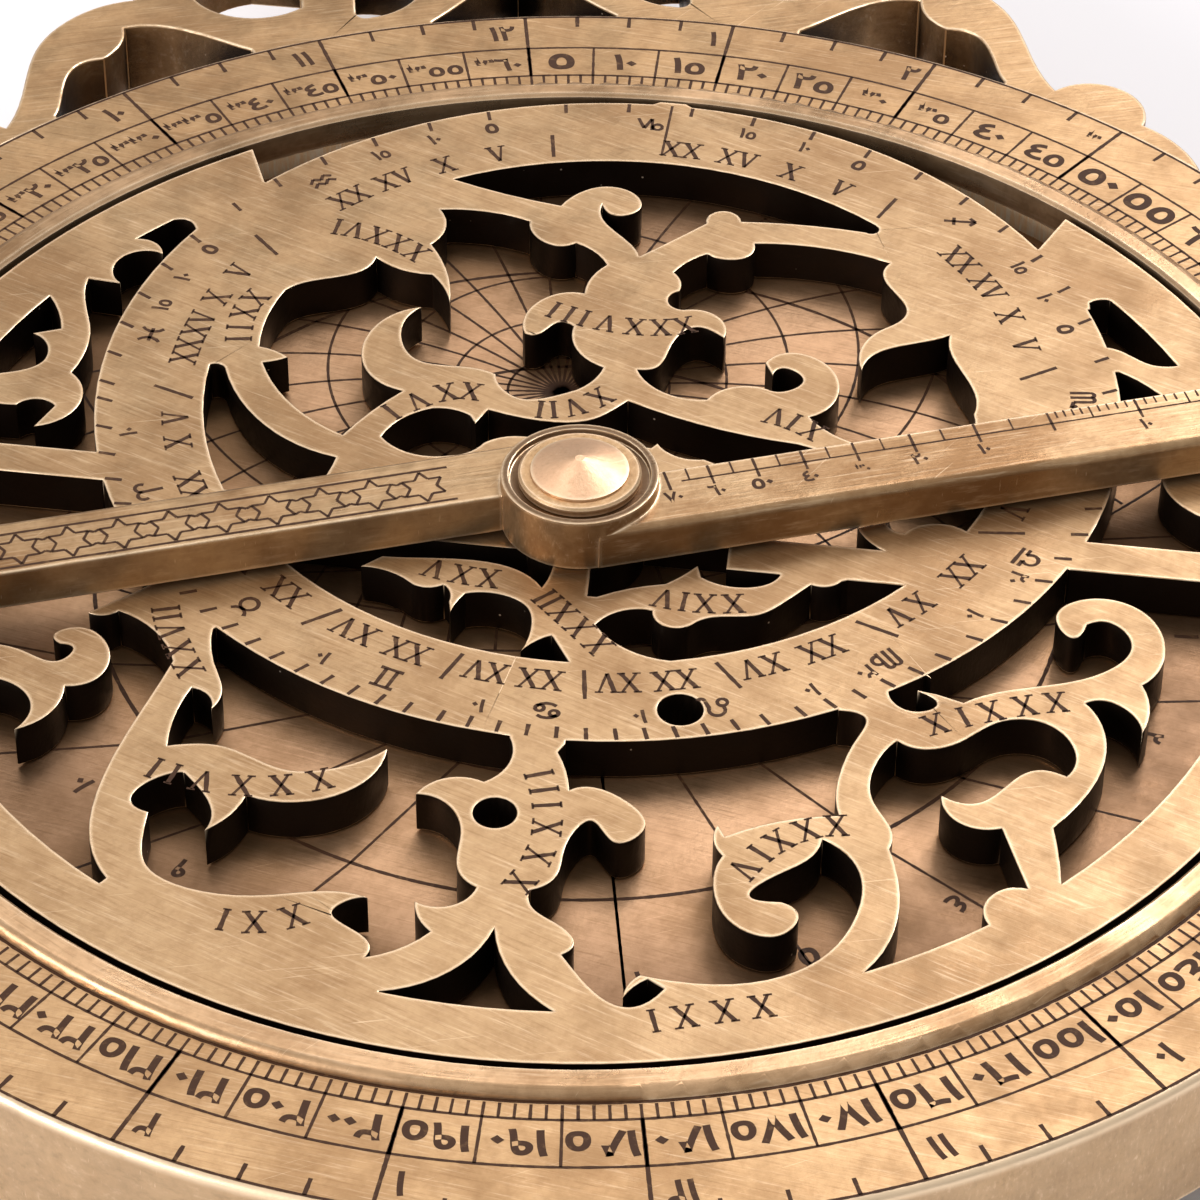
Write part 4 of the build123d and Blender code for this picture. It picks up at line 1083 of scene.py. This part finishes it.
def engrave_back():
    """A scale of altitudes round the back, four times 0 to 90 degrees."""
    lines = Engraving("back_scale_lines", "mater", back_z, downward=True)
    for radius in (back_outer_r, back_cell_r, back_inner_r):
        lines.arc((0, 0), radius)
    for degree in range(360):
        inner = back_degree_r if degree % 5 else back_cell_r
        if degree % 10 == 0:
            inner = back_inner_r
        lines.spoke(inner, back_outer_r, degree)
    for value in range(10, 370, 10):
        clock = value - 5.0
        quarter = (value - 10) // 90
        number = value - 90 * quarter if quarter % 2 == 0 else 90 * (quarter + 1) - value + 10
        lines.figure(eastern(number), polar(back_number_r, clock), back_number_height, 90.0 - clock)
    lines.make()


engrave_limb()
engrave_rete()
engrave_plate()
engrave_rule_scale()
engrave_rule_pattern()
engrave_back()


# Floor, light and camera, with lengths in metres
floor_width = 5.0
paper_white = (0.905, 0.905, 0.925, 1.0)
daylight = (1.0, 0.965, 0.94, 1.0)
horizon_light = 0.3
overhead_light = 0.68
lamp_white = (1.0, 0.96, 0.98)
side_white = (1.0, 0.95, 0.95)


def make_floor():
    """A plain pale floor under the instrument."""
    half = floor_width / 2
    mesh = bpy.data.meshes.new("floor")
    corners = [(-half, -half), (half, -half), (half, half), (-half, half)]
    mesh.from_pydata([(x, y, floor_z) for x, y in corners], [], [(0, 1, 2, 3)])
    floor = bpy.data.objects.new("floor", mesh)
    bpy.context.scene.collection.objects.link(floor)
    paper = bpy.data.materials.new("paper")
    paper.use_nodes = True
    surface = paper.node_tree.nodes["Principled BSDF"]
    surface.inputs["Base Color"].default_value = paper_white
    surface.inputs["Roughness"].default_value = 0.9
    mesh.materials.append(paper)


def make_world():
    """Soft daylight: pale overhead and darker towards the horizon."""
    world = bpy.data.worlds.new("daylight")
    bpy.context.scene.world = world
    world.use_nodes = True
    tree = world.node_tree
    sky = tree.nodes["Background"]
    coordinates = tree.nodes.new("ShaderNodeTexCoord")
    parts = tree.nodes.new("ShaderNodeSeparateXYZ")
    tree.links.new(coordinates.outputs["Generated"], parts.inputs[0])
    height = tree.nodes.new("ShaderNodeMapRange")
    tree.links.new(parts.outputs[2], height.inputs[0])
    height.inputs[1].default_value = -0.1
    height.inputs[2].default_value = 0.9
    height.inputs[3].default_value = horizon_light
    height.inputs[4].default_value = overhead_light
    tree.links.new(height.outputs[0], sky.inputs["Strength"])
    sky.inputs["Color"].default_value = daylight


def make_lamp(name, place, size, power, colour):
    """A square softbox that faces the instrument."""
    lamp = bpy.data.lights.new(name, "AREA")
    lamp.shape = "SQUARE"
    lamp.size = size
    lamp.energy = power
    lamp.color = colour
    holder = bpy.data.objects.new(name, lamp)
    holder.location = place
    holder.rotation_euler = (-Vector(place)).to_track_quat("-Z", "Y").to_euler()
    bpy.context.scene.collection.objects.link(holder)


def make_camera():
    """The photograph's view: low over the dial from the side away from the throne."""
    place = Vector((-16.48, -231.76, 193.88)) * mm
    target = Vector((0.826, -7.171, 0.0)) * mm
    roll = radians(0.462)
    camera = bpy.data.cameras.new("camera")
    camera.lens = 138.85
    camera.sensor_width = 36.0
    camera.clip_start = 0.01
    holder = bpy.data.objects.new("camera", camera)
    looking = (target - place).to_track_quat("-Z", "Y").to_matrix().to_4x4()
    holder.matrix_world = Matrix.Translation(place) @ looking @ Matrix.Rotation(roll, 4, "Z")
    bpy.context.scene.collection.objects.link(holder)
    bpy.context.scene.camera = holder


make_floor()
make_world()
make_lamp("key", place=(0.3, 0.42, 0.5), size=0.4, power=2.5, colour=lamp_white)
make_lamp("back", place=(-0.1, 0.28, 0.5), size=0.22, power=0.3, colour=lamp_white)
make_lamp("side", place=(-0.5, -0.25, 0.2), size=0.35, power=2.3, colour=side_white)
make_camera()
bpy.context.scene.view_settings.view_transform = "Standard"
